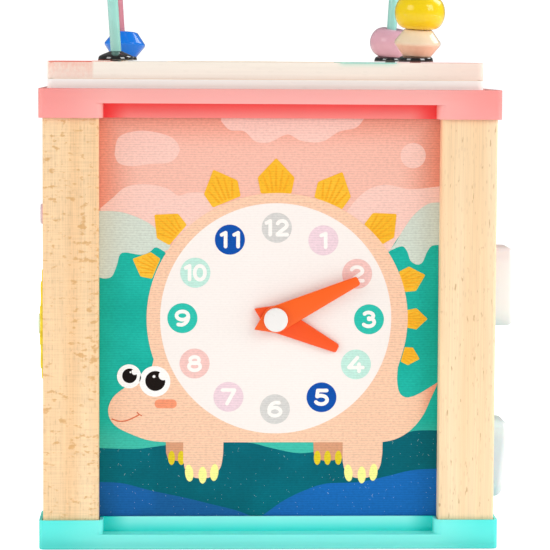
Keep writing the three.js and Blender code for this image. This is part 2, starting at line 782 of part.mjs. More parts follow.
// A wire in the upright plane through the maze's centre at the given angle.
function wirePath(shoulder, [[, shoulderRadius], [, middle, middleRadius]], angle) {
  const lean = FOOT_DISTANCE + (shoulder - LEG_BEND) * WIRE_SPREAD;
  const half = [
    [FOOT_DISTANCE, LID_BACKING_BOTTOM - LID_TOP + 1, 0],
    [FOOT_DISTANCE, LEG_BEND, 6],
    [lean, shoulder, shoulderRadius],
  ];
  const mirrored = half.map(([distance, height, radius]) => [-distance, height, radius]).reverse();
  const outline = [...half, [0, middle, middleRadius], ...mirrored];
  const corners = outline.map(([distance, height, radius]) => ({
    point: new THREE.Vector3(distance * Math.cos(angle), distance * Math.sin(angle), height),
    radius,
  }));
  return new RoundedPath(corners);
}

function wire(name, path, colour) {
  const steps = Math.round(path.total / WIRE_STEP);
  const section = new THREE.Shape();
  section.absarc(0, 0, WIRE / 2, 0, 4 * QUARTER);
  const geometry = new THREE.ExtrudeGeometry(section, {
    steps,
    extrudePath: path,
    curveSegments: WIRE_SIDES / 2,
  });
  return part(name, geometry, material(colour, 0.1));
}

// A black domed collar round a wire's foot.
function wirePlug(name, [x, y]) {
  const { radius, height, bore } = PLUG;
  const points = [
    [bore, GAP],
    [radius, GAP],
    [radius - 0.1, 0.8],
    [radius - 0.7, 1.6],
    [radius - 2, 2.3],
    [radius - 3.4, 2.8],
    [bore + 0.4, height],
    [bore, height],
    [bore, GAP],
  ];
  const mesh = part(name, turned(points), material("black"));
  mesh.position.set(x - MAZE_SHIFT, y, 0);
  return mesh;
}

function roundBead() {
  const { diameter, height, flat } = ROUND_BEAD;
  const steps = 8;
  const points = [[BEAD_BORE / 2, -height / 2]];
  for (let i = 0; i <= steps; i++) {
    const angle = -QUARTER + (2 * QUARTER * i) / steps;
    const reach = diameter / 2 - flat / 2;
    points.push([flat / 2 + reach * Math.cos(angle), (height / 2) * Math.sin(angle)]);
  }
  points.push([BEAD_BORE / 2, height / 2], points[0]);
  return turned(points);
}

function edgedBead() {
  const { diameter, height, flat } = EDGED_BEAD;
  const edge = diameter / 2;
  const points = [
    [BEAD_BORE / 2, -height / 2],
    [flat / 2, -height / 2],
    [edge - 0.3, -0.6],
    [edge, 0],
    [edge - 0.3, 0.6],
    [flat / 2, height / 2],
    [BEAD_BORE / 2, height / 2],
    [BEAD_BORE / 2, -height / 2],
  ];
  return turned(points);
}

// A bead threaded on a leg, its middle the given distance above the leg's bend. The leg stands
// in the direction (x, y) from the maze's centre.
function beadOnLeg(name, geometry, [x, y], above, colour) {
  const along = new THREE.Vector3(x * WIRE_SPREAD, y * WIRE_SPREAD, Math.SQRT2).normalize();
  const mesh = part(name, geometry, material(colour));
  mesh.quaternion.setFromUnitVectors(new THREE.Vector3(0, 0, 1), along);
  mesh.position.set(x * MAZE_FOOT, y * MAZE_FOOT, LEG_BEND).addScaledVector(along, above);
  return mesh;
}

function beads() {
  const lowest = EDGED_BEAD.height / 2 - LEG_BEND + 3.3;
  const lowestRound = ROUND_BEAD.height / 2 - LEG_BEND + 3.3;
  const stacked = lowest + (EDGED_BEAD.height + ROUND_BEAD.height) / 2 + GAP;
  const [, dip, dipRadius] = WAVE_OUTLINE[1];
  const dipBead = part("bead_green", roundBead().rotateY(QUARTER), material("green"));
  dipBead.rotation.z = QUARTER / 2;
  dipBead.position.z = dip + dipRadius * (1 / Math.cos(waveSlope()) - 1);
  return [
    beadOnLeg("bead_blue", edgedBead(), [-1, 1], lowest, "blue"),
    beadOnLeg("bead_peach", edgedBead(), [1, -1], lowest, "peach"),
    beadOnLeg("bead_yellow", roundBead(), [1, -1], stacked, "sunny"),
    beadOnLeg("bead_mauve", roundBead(), [1, 1], lowestRound, "mauve"),
    dipBead,
  ];
}

// The angle at which the wave wire climbs away from its dip.
function waveSlope() {
  const shoulder = FOOT_DISTANCE + (WAVE_SHOULDER - LEG_BEND) * WIRE_SPREAD;
  return Math.atan2(WAVE_SHOULDER - WAVE_OUTLINE[1][1], shoulder);
}

function beadMaze() {
  const maze = new THREE.Group();
  maze.position.set(MAZE_SHIFT, 0, LID_TOP);
  const arch = wirePath(ARCH_SHOULDER, ARCH_OUTLINE, 1.5 * QUARTER);
  const wave = wirePath(WAVE_SHOULDER, WAVE_OUTLINE, 0.5 * QUARTER);
  maze.add(wire("maze_wire_arch", arch, "pink"), wire("maze_wire_wave", wave, "mint"));
  const corners = ["front_left", "front_right", "back_right", "back_left"];
  mazeFeet().forEach((foot, index) => maze.add(wirePlug(`wire_plug_${corners[index]}`, foot)));
  maze.add(...beads());
  return maze;
}

// ---------------------------------------------------------------- assembly

const cube = new THREE.Group();
cube.add(baseFrame(), topFrame(), baseBoard(), ...posts(), ...postScrews());
cube.add(lidBoard("top_board_backing", LID_BACKING_THICKNESS, LID_BACKING_BOTTOM));
cube.add(lidBoard("top_board", LID_PRINTED_THICKNESS, LID_PRINTED_BOTTOM));
cube.add(clock(), gearTrain(), trackSide(), blockSide(), beadMaze());

export default cube;
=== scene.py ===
"""Looks of the baby activity cube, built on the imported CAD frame.

Shapes are drawn in millimetres. Each side of the box has its own drawing plane: "across" runs to
the right of someone facing that side, "up" is the height over the floor and "height" is measured
outwards from the panel's outer face.
"""
import json
import math

import bmesh
import bpy
from mathutils import Matrix, Vector

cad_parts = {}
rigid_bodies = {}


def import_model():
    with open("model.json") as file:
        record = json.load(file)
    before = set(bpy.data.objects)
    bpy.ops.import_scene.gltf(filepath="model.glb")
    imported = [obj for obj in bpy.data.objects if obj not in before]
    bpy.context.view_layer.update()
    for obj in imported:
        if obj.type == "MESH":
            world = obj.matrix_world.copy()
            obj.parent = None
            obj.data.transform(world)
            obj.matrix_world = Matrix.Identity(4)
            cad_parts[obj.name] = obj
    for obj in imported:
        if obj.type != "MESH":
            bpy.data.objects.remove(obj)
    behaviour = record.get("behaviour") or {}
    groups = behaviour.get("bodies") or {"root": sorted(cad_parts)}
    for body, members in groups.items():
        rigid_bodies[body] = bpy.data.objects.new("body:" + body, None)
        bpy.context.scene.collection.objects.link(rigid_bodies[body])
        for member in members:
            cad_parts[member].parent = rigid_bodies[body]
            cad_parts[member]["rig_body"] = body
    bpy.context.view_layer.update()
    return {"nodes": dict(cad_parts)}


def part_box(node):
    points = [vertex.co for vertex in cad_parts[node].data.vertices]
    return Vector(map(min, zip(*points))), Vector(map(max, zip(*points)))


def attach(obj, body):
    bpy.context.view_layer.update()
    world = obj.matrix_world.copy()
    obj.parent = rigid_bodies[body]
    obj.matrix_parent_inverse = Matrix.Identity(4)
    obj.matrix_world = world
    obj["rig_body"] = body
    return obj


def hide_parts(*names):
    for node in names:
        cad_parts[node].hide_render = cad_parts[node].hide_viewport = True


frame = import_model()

NODES = frame["nodes"]
MM = 0.001


def span(node):
    """A CAD node's lowest and highest corners, in millimetres."""
    low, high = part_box(node)
    return low / MM, high / MM


def middle(node):
    """The middle of a CAD node's box, in millimetres."""
    low, high = span(node)
    return (low + high) / 2


FACE = -span("front_panel")[0].y
LID_LOW, LID_HIGH = span("top_board")
PANEL_EDGE = -span("post_front_left")[1].x + 0.3
THREAD = 0.83 * MM  # spacing of the print's horizontal threads
SIDE_TURN = {"front": 0, "right": 90, "back": 180, "left": -90}


# ---- colours and materials

def rgb(hex_code):
    """A colour written as hexadecimal sRGB, as linear light with alpha."""
    values = [int(hex_code[i:i + 2], 16) / 255 for i in (0, 2, 4)]
    linear = [v / 12.92 if v <= 0.04045 else ((v + 0.055) / 1.055) ** 2.4 for v in values]
    return (*linear, 1.0)


def shifted(colour, factor):
    return (*(min(1.0, c * factor) for c in colour[:3]), 1.0)


class Surface:
    """A procedural material, built up step by step round one Principled shader."""

    def __init__(self, name):
        self.material = bpy.data.materials.new(name)
        self.material.use_nodes = True
        self.tree = self.material.node_tree
        self.shader = self.tree.nodes["Principled BSDF"]
        self.place = self.add("TexCoord").outputs["Object"]

    def add(self, kind, options=None, **inputs):
        node = self.tree.nodes.new("ShaderNode" + kind)
        for key, value in (options or {}).items():
            setattr(node, key, value)
        for key, value in inputs.items():
            self.plug(node.inputs[key.replace("_", " ")], value)
        return node

    def plug(self, socket, value):
        if isinstance(value, bpy.types.NodeSocket):
            self.tree.links.new(value, socket)
        else:
            socket.default_value = value

    def set(self, **inputs):
        for key, value in inputs.items():
            self.plug(self.shader.inputs[key.replace("_", " ")], value)

    def math(self, operation, a, b=0.0):
        node = self.add("Math", {"operation": operation})
        self.plug(node.inputs[0], a)
        self.plug(node.inputs[1], b)
        return node.outputs[0]

    def times(self, a, b):
        return self.math("MULTIPLY", a, b)

    def plus(self, a, b):
        return self.math("ADD", a, b)

    def mix(self, factor, a, b):
        node = self.add("Mix", {"data_type": "RGBA"})
        self.plug(node.inputs[0], factor)
        self.plug(node.inputs[6], a)
        self.plug(node.inputs[7], b)
        return node.outputs[2]

    def step(self, value, start, end):
        """0 below start, 1 above end and smooth between."""
        options = {"interpolation_type": "SMOOTHSTEP"}
        return self.add("MapRange", options, Value=value, From_Min=start, From_Max=end).outputs[0]

    def ramp(self, place, start, end):
        """A step along a coordinate, its start and end in millimetres."""
        return self.step(place, start * MM, end * MM)

    def ranged(self, value, low, high):
        """A value from 0 to 1 carried on to the range from low to high."""
        return self.add("MapRange", Value=value, To_Min=low, To_Max=high).outputs[0]

    def stretched(self, x, y, z):
        """The object's coordinates, scaled to x, y and z cycles a metre."""
        return self.add("Mapping", Vector=self.place, Scale=(x, y, z)).outputs[0]

    def noise(self, vector, scale=1.0, detail=2.0, roughness=0.5):
        settings = {"Scale": scale, "Detail": detail, "Roughness": roughness}
        return self.add("TexNoise", Vector=vector, **settings).outputs["Fac"]

    def sheet(self, across, up, lying=False):
        """Flat coordinates on upright faces, or on lying boards, in cycles a metre."""
        x, y, z = self.axes()
        first, second = (x, self.plus(y, z)) if lying else (self.plus(x, y), z)
        first, second = self.times(first, across), self.times(second, up)
        return self.add("CombineXYZ", X=first, Y=second).outputs[0]

    def spots(self, vector, size, kept=0.5):
        """1 inside scattered soft spots, sized in parts of their cells, on a flat sheet."""
        cells = self.add("TexVoronoi", {"voronoi_dimensions": "2D"}, Vector=vector, Scale=1.0)
        near = self.step(cells.outputs["Distance"], size, size * 0.5)
        picked = self.add("SeparateColor", Color=cells.outputs["Color"]).outputs[0]
        return self.times(near, self.step(picked, 1 - kept, 1.04 - kept))

    def slanted(self, across, up, angle):
        """A sheet turned by an angle before it is stretched."""
        flat = self.add("VectorRotate", {"rotation_type": "Z_AXIS"}, Vector=self.sheet(1, 1), Angle=angle)
        node = self.add("VectorMath", {"operation": "MULTIPLY"}, Vector=flat.outputs[0])
        self.plug(node.inputs[1], (across, up, 0))
        return node.outputs[0]

    def scaled(self, colour, factor):
        """A colour made lighter or darker by a factor, its hue kept."""
        return self.add("VectorMath", {"operation": "SCALE"}, Vector=colour, Scale=factor).outputs[0]

    def varied(self, factor, colour, low, high):
        """A colour that wanders between a darker and a lighter tone of its own."""
        return self.mix(factor, shifted(colour, low), shifted(colour, high))

    def axes(self):
        node = self.add("SeparateXYZ", Vector=self.place)
        return [node.outputs[axis] for axis in "XYZ"]

    def bump(self, height, distance, strength=0.5):
        node = self.add("Bump", Height=height, Distance=distance, Strength=strength)
        self.set(Normal=node.outputs[0])


def moulded(surface):
    """The faint flow and the fine grain of moulded plastic."""
    flow = surface.noise(surface.place, scale=28, detail=3)
    return flow, surface.noise(surface.place, scale=1600)


def plastic(name, hex_code, roughness=0.32, glow=0.0, specular=0.45, coat=0.0):
    """Moulded plastic with a fine satin skin."""
    surface = Surface(name)
    flow, grain = moulded(surface)
    surface.set(Base_Color=surface.varied(flow, rgb(hex_code), 0.955, 1.035))
    gloss = surface.ranged(flow, roughness - 0.05, roughness + 0.07)
    surface.set(Roughness=gloss, Specular_IOR_Level=specular, Subsurface_Weight=glow)
    surface.set(Subsurface_Scale=0.004, Coat_Weight=coat, Coat_IOR=2.0, Coat_Roughness=0.04)
    surface.bump(grain, 0.00004, 0.35)
    return surface.material


def lacquer(name, hex_code):
    """Glossy paint over turned wood, with the wood's grain just telling through."""
    surface = Surface(name)
    colour = rgb(hex_code)
    grain = surface.noise(surface.stretched(900, 900, 90), detail=3)
    tone = surface.varied(surface.noise(surface.place, scale=120), colour, 0.93, 1.05)
    surface.set(Base_Color=surface.mix(surface.times(grain, 0.12), tone, shifted(colour, 0.8)))
    surface.set(Roughness=0.35, Specular_IOR_Level=0.1, Coat_Weight=1.0, Coat_Roughness=0.1)
    surface.bump(grain, 0.00005, 0.25)
    return surface.material


def coated_wire(name, hex_code, sheen_code):
    """A thick, slightly clear coat over steel wire, paler where the coat turns away."""
    surface = Surface(name)
    ripple = surface.noise(surface.place, scale=220)
    surface.set(Base_Color=surface.varied(ripple, rgb(hex_code), 0.94, 1.05))
    surface.set(Roughness=0.2, Coat_Weight=0.8, Coat_Roughness=0.04)
    surface.set(Sheen_Weight=0.7, Sheen_Roughness=0.25, Sheen_Tint=rgb(sheen_code))
    surface.bump(ripple, 0.00005, 0.2)
    return surface.material


def steel(name):
    """Zinc-plated steel with fine turning marks."""
    surface = Surface(name)
    marks = surface.noise(surface.stretched(300, 300, 4000))
    surface.set(Base_Color=surface.mix(marks, rgb("a8abae"), rgb("cfd2d4")), Metallic=1.0)
    surface.set(Roughness=surface.ranged(marks, 0.25, 0.45))
    return surface.material


def wood_grain(surface, light, dark, fineness, lying=False):
    """Wood's colour and height: slow bands, fine fibres and pores along the grain."""
    def drawn(across, length):
        return surface.sheet(length, across, lying) if lying else surface.sheet(across, length)

    bands = surface.noise(drawn(110, 3), detail=3)
    fibres = surface.noise(drawn(fineness, 22), detail=4, roughness=0.62)
    pores = surface.spots(drawn(fineness * 0.62, 240), 0.3, kept=0.3)
    tone = surface.mix(surface.step(bands, 0.3, 0.7), light, dark)
    tone = surface.scaled(tone, surface.ranged(fibres, 1.07, 0.92))
    tone = surface.mix(surface.times(pores, 0.05 if lying else 0.22), tone, shifted(dark, 0.62))
    height = surface.math("SUBTRACT", 1.0, surface.plus(fibres, pores))
    return tone, height


def planed(surface, tone, height, relief=0.00006):
    surface.set(Base_Color=tone, Roughness=0.55, Specular_IOR_Level=0.2)
    surface.bump(height, relief, 0.3)
    return surface.material


def flaked_beech():
    """Beech sawn so that its rays show as small brown smudges between fine crossed lines."""
    surface = Surface("flaked_beech")
    tone, height = wood_grain(surface, rgb("f8d8ae"), rgb("f1c797"), 1300)
    upright = surface.noise(surface.sheet(2200, 40), detail=3, roughness=0.7)
    level = surface.noise(surface.sheet(60, 1800), detail=3, roughness=0.7)
    for lines in (upright, level):
        tone = surface.scaled(tone, surface.ranged(lines, 1.22, 0.78))
    cluster = surface.noise(surface.sheet(62, 62), detail=1)
    smudges = surface.noise(surface.sheet(310, 520), detail=3, roughness=0.55)
    smudges = surface.step(surface.plus(smudges, surface.times(cluster, 0.35)), 0.74, 0.86)
    pores = surface.step(surface.noise(surface.sheet(900, 700), roughness=0.6), 0.66, 0.74)
    for marks, strength, colour in ((smudges, 0.6, "d1974f"), (pores, 0.35, "b57c46")):
        tone = surface.mix(surface.times(marks, strength), tone, rgb(colour))
    return planed(surface, tone, height)


def straight_beech():
    """Beech with straight upright grain and small irregular dark flecks."""
    surface = Surface("straight_beech")
    tone, height = wood_grain(surface, rgb("fbe0ba"), rgb("f6d2a6"), 1700)
    upright = surface.noise(surface.sheet(2000, 25), detail=3, roughness=0.7)
    tone = surface.scaled(tone, surface.ranged(upright, 1.22, 0.78))
    flecks = surface.noise(surface.sheet(880, 215), roughness=0.55)
    tone = surface.mix(surface.times(surface.step(flecks, 0.64, 0.73), 0.6), tone, rgb("b98f5f"))
    return planed(surface, tone, height)


def plywood(name, light_code, dark_code, stained=False):
    """Pale board with grain along X. A stained board has ink run into its front edge."""
    surface = Surface(name)
    tone, height = wood_grain(surface, rgb(light_code), rgb(dark_code), 900, lying=True)
    if stained:
        tone = ink_run(surface, tone)
    return planed(surface, tone, height, 0.00005)


def ink_run(surface, tone):
    """The lid's red, pink and teal ink, run down into the board's front edge."""
    x, y, z = surface.axes()
    edge = surface.ramp(y, LID_LOW.y + 1.6, LID_LOW.y + 0.7)
    deep = surface.times(edge, surface.ramp(z, LID_LOW.z - 4, LID_HIGH.z))
    shallow = surface.times(edge, surface.ramp(z, LID_HIGH.z - 2.2, LID_HIGH.z + 1))
    bleed = surface.noise(surface.sheet(900, 500, lying=True), detail=3, roughness=0.7)
    red = surface.times(surface.ramp(x, -60.8, -61.9), surface.ranged(bleed, 0.0, 0.95))
    pink = surface.times(surface.ramp(x, 30, 74), 0.35)
    teal = surface.times(surface.ramp(x, 22, 26), surface.ramp(x, 46, 40))
    for stain, depth, colour in ((red, deep, "f2a58e"), (pink, deep, "f8c6b8"), (teal, shallow, "a8dcc8")):
        tone = surface.mix(surface.times(stain, depth), tone, rgb(colour))
    return tone


def printed(surface, tone, weave=1.0):
    """Finishes a printed surface with the fine level threads and dots of the print."""
    up = surface.axes()[2]
    wander = surface.noise(surface.sheet(60, 160))
    turns = surface.plus(surface.times(up, 2 * math.pi / THREAD), surface.times(wander, 6.0))
    threads = surface.times(surface.math("SINE", turns), 0.13)
    dots = surface.noise(surface.sheet(1000, 1150), detail=3, roughness=0.65)
    shade = surface.plus(surface.plus(dots, threads), -0.5)
    factor = surface.plus(1.0, surface.times(shade, 0.5 * weave))
    surface.set(Base_Color=surface.scaled(tone, factor), Roughness=0.6, Specular_IOR_Level=0.08)
    surface.bump(shade, 0.00003, 0.4)
    return surface.material


def ink(name, hex_code, weave=1.0, specks=0.0, second=None, mottled=0.04, fade=None):
    """One printed colour, with optional white dust, a second tone in soft patches, and a fade
    along one axis to another colour: (axis, start, end, colour)."""
    surface = Surface(name)
    patches = surface.noise(surface.place, scale=45, detail=3)
    tone = surface.varied(patches, rgb(hex_code), 1 - mottled, 1 + mottled)
    if second:
        tone = surface.mix(surface.step(patches, 0.42, 0.66), tone, rgb(second))
    if fade:
        axis, start, end, far_colour = fade
        place = surface.axes()["XYZ".index(axis)]
        tone = surface.mix(surface.ramp(place, start, end), tone, rgb(far_colour))
    if specks:
        marks = surface.spots(surface.sheet(350, 350), 0.04, kept=0.45)
        for across, up, angle in ((1500, 200, 0.5), (1400, 230, -0.8)):
            scratches = surface.spots(surface.slanted(across, up, angle), 0.12, kept=0.035)
            marks = surface.math("MAXIMUM", marks, scratches)
        tone = surface.mix(surface.times(marks, specks), tone, rgb("d9f1ea"))
    return printed(surface, tone, weave)


def sky_print(name, side):
    """The sky, deeper in tone towards the panel's two sides and its top: partly the print's own tone and
    partly painted shade where the posts and the frame above shade the panel.
    """
    surface = Surface(name)
    x, y, z = surface.axes()
    across = surface.math("ABSOLUTE", x if side in ("front", "back") else y)
    # painted shade: the sky darkens towards the posts at the sides and under the frame at the top
    edge = surface.ramp(across, 44, 62)
    top = surface.ramp(z, 138, 151)
    depth = surface.math("MAXIMUM", edge, surface.times(top, 0.7))
    tone = surface.mix(depth, rgb("f2bba9"), rgb("e9927a"))
    return surface, tone


def scenery(name, side, phase):
    """The other panels' picture: sky, with the same painted shade towards its sides and top, over two rows of
    hills, a dark band and waves.
    """
    surface, tone = sky_print(name, side)
    x, y, z = surface.axes()
    across = x if side == "back" else y

    def below(level, swing, length, shift):
        """1 under a wavy line at the given level, all in millimetres."""
        angle = surface.plus(surface.times(across, 2 * math.pi / (length * MM)), shift)
        line = surface.plus(surface.times(surface.math("SINE", angle), swing * MM), level * MM)
        gap = surface.math("SUBTRACT", line, z)
        return surface.step(gap, -0.00006, 0.00006)

    for level, swing, length, shift, colour in (
        (104, 13, 118, 0.0, "d3e0d2"),
        (90, 12, 118, 0.25, "1fae9d"),
        (45, 4, 90, 1.7, "8fd6c0"),
        (37, 2.5, 140, 2.4, "0c6f7e"),
        (20, 4.5, 96, 0.9, "2a67ad"),
    ):
        tone = surface.mix(below(level, swing, length, shift + phase), tone, rgb(colour))
    return printed(surface, tone)


# ---- shape helpers

def circle(across, up, radius, steps=96):
    return arc(across, up, radius, 0, 360, steps)[:-1]


def arc(across, up, radius, start, end, steps=48):
    angles = [math.radians(start + (end - start) * i / steps) for i in range(steps + 1)]
    return [(across + radius * math.cos(a), up + radius * math.sin(a)) for a in angles]


def oval(across, up, half_width, half_height, turn=0, steps=48):
    points = [(half_width * u, half_height * v) for u, v in circle(0, 0, 1, steps)]
    return placed(points, across, up, turn)


def placed(points, across, up, turn=0):
    """Points drawn about the origin, turned by some degrees and moved into place."""
    c, s = math.cos(math.radians(turn)), math.sin(math.radians(turn))
    return [(across + u * c - v * s, up + u * s + v * c) for u, v in points]


def curve(points, steps=10):
    """A smooth line through the points."""
    full = [points[0], *points, points[-1]]
    line = []
    for i in range(len(points) - 1):
        p0, p1, p2, p3 = (Vector(p) for p in full[i:i + 4])
        bend, twist = 2 * p0 - 5 * p1 + 4 * p2 - p3, 3 * p1 - p0 - 3 * p2 + p3
        for k in range(steps):
            t = k / steps
            line.append(tuple(0.5 * (2 * p1 + (p2 - p0) * t + bend * t ** 2 + twist * t ** 3)))
    line.append(points[-1])
    return line


def rounded_square(half, radius, steps=8):
    """Corner arcs of a square centred on the origin, starting on +X."""
    inner = half - radius
    points = []
    for turn, (x, y) in enumerate(((1, 1), (-1, 1), (-1, -1), (1, -1))):
        points += arc(x * inner, y * inner, radius, 90 * turn, 90 * turn + 90, steps)
    return points


def prism(bm, outline, low, high):
    """A solid between two heights over a plain outline."""
    bottom = [bm.verts.new((u, v, low)) for u, v in outline]
    top = [bm.verts.new((u, v, high)) for u, v in outline]
    count = len(outline)
    bm.faces.new(reversed(bottom))
    bm.faces.new(top)
    for i in range(count):
        j = (i + 1) % count
        bm.faces.new((bottom[i], bottom[j], top[j], top[i]))


def loft(bm, rings, closed=False):
    """Joins rings of equal length with quads; an open stack of rings gets capped ends."""
    loops = [[bm.verts.new(point) for point in ring] for ring in rings]
    pairs = list(zip(loops, loops[1:]))
    if closed:
        pairs.append((loops[-1], loops[0]))
    else:
        bm.faces.new(reversed(loops[0]))
        bm.faces.new(loops[-1])
    for below, above in pairs:
        for i in range(len(below)):
            j = (i + 1) % len(below)
            bm.faces.new((below[i], below[j], above[j], above[i]))


def lofted(rings, closed=False):
    bm = bmesh.new()
    loft(bm, rings, closed)
    return bm


def turned(profile, segments=64, closed=False):
    """A turned solid about +Z from (radius, height) points."""
    return lofted([round_ring(radius, height, segments) for radius, height in profile], closed)


def prisms(outlines, low, high):
    bm = bmesh.new()
    for outline in outlines:
        prism(bm, outline, low, high)
    return bm


def raised(points, height):
    return [(u, v, height) for u, v in points]


def round_ring(radius, height, segments=36):
    return raised(circle(0, 0, radius, segments), height)


def square_ring(half, radius, height):
    return raised(rounded_square(half, max(radius, 0.05)), height)


def quarter_turn(steps):
    """Angles from 0 to a right angle, in equal steps."""
    return [math.pi / 2 * i / steps for i in range(steps + 1)]


def on_side(bm, side, across=0.0, up=0.0):
    """Moves a shape drawn as (across, up, height) on to a side of the box."""
    stand = Matrix(((1, 0, 0, across), (0, 0, -1, -FACE), (0, 1, 0, up), (0, 0, 0, 1)))
    turn = Matrix.Rotation(math.radians(SIDE_TURN[side]), 4, "Z")
    bm.transform(turn @ stand)


def finished(name, bm, material, body, smooth=40.0):
    """An object in metres that rides on a body, smooth except at edges sharper than the angle."""
    bmesh.ops.recalc_face_normals(bm, faces=bm.faces)
    for face in bm.faces:
        face.smooth = True
    for edge in bm.edges:
        edge.smooth = len(edge.link_faces) == 2 and edge.calc_face_angle() < math.radians(smooth)
    mesh = bpy.data.meshes.new(name)
    bm.to_mesh(mesh)
    bm.free()
    mesh.materials.append(material)
    obj = bpy.data.objects.new(name, mesh)
    bpy.context.scene.collection.objects.link(obj)
    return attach(obj, body)


def piece(name, bm, material, body="cube", stands_for=(), smooth=40.0):
    """A piece drawn in millimetres; it may stand for CAD nodes."""
    bmesh.ops.scale(bm, vec=(MM, MM, MM), verts=bm.verts)
    obj = finished(name, bm, material, body, smooth)
    if stands_for:
        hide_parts(*stands_for)
    return obj


def bevelled(obj, width, segments=4):
    """Rounds the edges that carry a bevel weight."""
    modifier = obj.modifiers.new("rounded edges", "BEVEL")
    modifier.width = width * MM
    modifier.segments = segments
    modifier.limit_method = "WEIGHT"
    modifier.miter_outer = "MITER_ARC"
    modifier.harden_normals = True
    return obj


def refined(node, name, material, bevel, rim=None):
    """A CAD node's shape in clean flat faces, with rounded edges. A rim is a level, a distance from
    the axis beyond which its edges are rounded more than the others, and their radius."""
    bm = bmesh.new()
    bm.from_mesh(NODES[node].data)
    bmesh.ops.remove_doubles(bm, verts=bm.verts, dist=1e-6)
    bmesh.ops.dissolve_limit(bm, angle_limit=math.radians(1), verts=bm.verts, edges=bm.edges)
    level, reach, radius = rim or (0.0, 0.0, bevel)
    weights = bm.edges.layers.float.new("bevel_weight_edge")
    for edge in bm.edges:
        if edge.calc_face_angle() > math.radians(40):
            outermost = all(is_on_rim(v.co / MM, level, reach) for v in edge.verts)
            edge[weights] = 1.0 if rim and outermost else bevel / radius
    obj = finished(name, bm, material, NODES[node]["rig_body"], smooth=180)
    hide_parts(node)
    return bevelled(obj, radius)


def is_on_rim(point, level, reach):
    return abs(point.z - level) < 0.01 and max(abs(point.x), abs(point.y)) > reach


def surfaced(material, *nodes):
    """Gives CAD nodes that stay a material of their own."""
    for node in nodes:
        slots = NODES[node].data.materials
        slots.clear()
        slots.append(material)


def layer(name, outlines, height, material, side="front", across=0.0, up=0.0):
    """Printed shapes on a panel, standing the given height above its face."""
    bm = prisms(outlines, 0.0, height)
    on_side(bm, side, across, up)
    return piece(name, bm, material, smooth=30)


# ---- box: frames, posts, boards

CORNERS = {"front_left": (-1, -1), "front_right": (1, -1), "back_right": (1, 1), "back_left": (-1, 1)}
RECESS_FACE = FACE + 1.6  # the recessed wall above a panel
FRAME_BAND = 5.1  # height of a frame's outer band


def frame_plastic(name, band, cup, shaded, lit, ends, shadow_z, light_z):
    """Frame plastic, a little deeper in tone on the corner cups. The recessed walls carry painted shade: they
    are fuller in colour, most of all beside the cups, and go from the shaded colour of a painted shadow under
    the band to the lit colour between two levels."""
    surface = Surface(name)
    x, y, z = surface.axes()
    wide, deep = surface.math("ABSOLUTE", x), surface.math("ABSOLUTE", y)
    corner = surface.math("MINIMUM", wide, deep)
    flow, grain = moulded(surface)
    outside = surface.mix(surface.ramp(corner, 53, 76), rgb(band), rgb(cup))
    # painted shade of the recessed walls: a painted shadow under the band that fades to the lit colour lower
    # down, and deeper shade beside the cups
    inner = surface.mix(surface.ramp(z, shadow_z, light_z), rgb(shaded), rgb(lit))
    inner = surface.mix(surface.ramp(corner, 48, 57), inner, rgb(ends))
    recessed = surface.ramp(surface.math("MAXIMUM", wide, deep), RECESS_FACE + 1.5, RECESS_FACE + 0.6)
    tone = surface.scaled(surface.mix(recessed, outside, inner), surface.ranged(flow, 0.97, 1.03))
    surface.set(Base_Color=tone, Roughness=0.2, Specular_IOR_Level=0.5)
    surface.set(Subsurface_Weight=0.06, Subsurface_Scale=0.003)
    surface.bump(grain, 0.00004, 0.25)
    return surface.material


def box_frames():
    base, top = span("base_frame"), span("top_frame")
    # The last three colours of each frame are painted shade on the recessed wall: its shaded and lit tones
    # and the deeper shade beside the cups.
    mint = frame_plastic("mint_plastic", "7ff8ee", "5ceee4", "48efe7", "8ef8f0", "02dcd4",
                         base[0].z + FRAME_BAND, base[1].z)
    pink = frame_plastic("pink_plastic", "fbaea8", "fb9c97", "ff5957", "ff8e88", "ff4040",
                         top[1].z - FRAME_BAND, top[0].z)
    refined("base_frame", "base_frame_moulding", mint, 0.45, (base[0].z, FACE + 8, 1.1))
    refined("top_frame", "top_frame_moulding", pink, 0.45, (top[1].z, FACE + 8, 1.4))


def box_posts():
    flaked, straight = flaked_beech(), straight_beech()
    for corner in CORNERS:
        wood = flaked if corner.endswith("left") else straight
        refined(f"post_{corner}", f"post_{corner}_planed", wood, 0.35)
    surfaced(flaked, "block_rod", "block_rod_cleat_left", "block_rod_cleat_right")


LID_CUT = 2.5  # the boards' corners are cut off by this much
GLUE_INSET = 0.08
GLUE_OVERLAP = 0.15  # how far the glue line reaches into both boards


def glue_outline(low, high):
    """The boards' outline, drawn in by the glue's inset."""
    left, right = low.x + GLUE_INSET, high.x - GLUE_INSET
    front, back = low.y + GLUE_INSET, high.y - GLUE_INSET
    return [
        (left, low.y + LID_CUT), (low.x + LID_CUT, front),
        (high.x - LID_CUT, front), (right, low.y + LID_CUT),
        (right, high.y - LID_CUT), (high.x - LID_CUT, back),
        (low.x + LID_CUT, back), (left, high.y - LID_CUT),
    ]


def lid_boards():
    upper = plywood("upper_board_wood", "fcf5e9", "f6e8d8", stained=True)
    # The lower board is drawn whiter than the upper one: painted light that makes up for the shade falling on
    # it below the upper board.
    lower = plywood("lower_board_wood", "ffffff", "fffdf6")
    refined("top_board", "top_board_planed", upper, 0.12, (LID_HIGH.z, FACE + 4, 0.7))
    refined("top_board_backing", "top_board_backing_planed", lower, 0.12)
    low, high = span("top_board_backing")
    bm = prisms([glue_outline(low, high)], high.z - GLUE_OVERLAP, LID_LOW.z + GLUE_OVERLAP)
    piece("top_board_glue", bm, plywood("glue_line_wood", "f8ead9", "f3dfca"))
    surfaced(plywood("base_board_wood", "f3dfc6", "e6c9a6"), "base_board")


def screws():
    plated = steel("zinc_plated_steel")
    for corner in CORNERS:
        surfaced(plated, f"base_screw_{corner}", f"top_screw_{corner}")


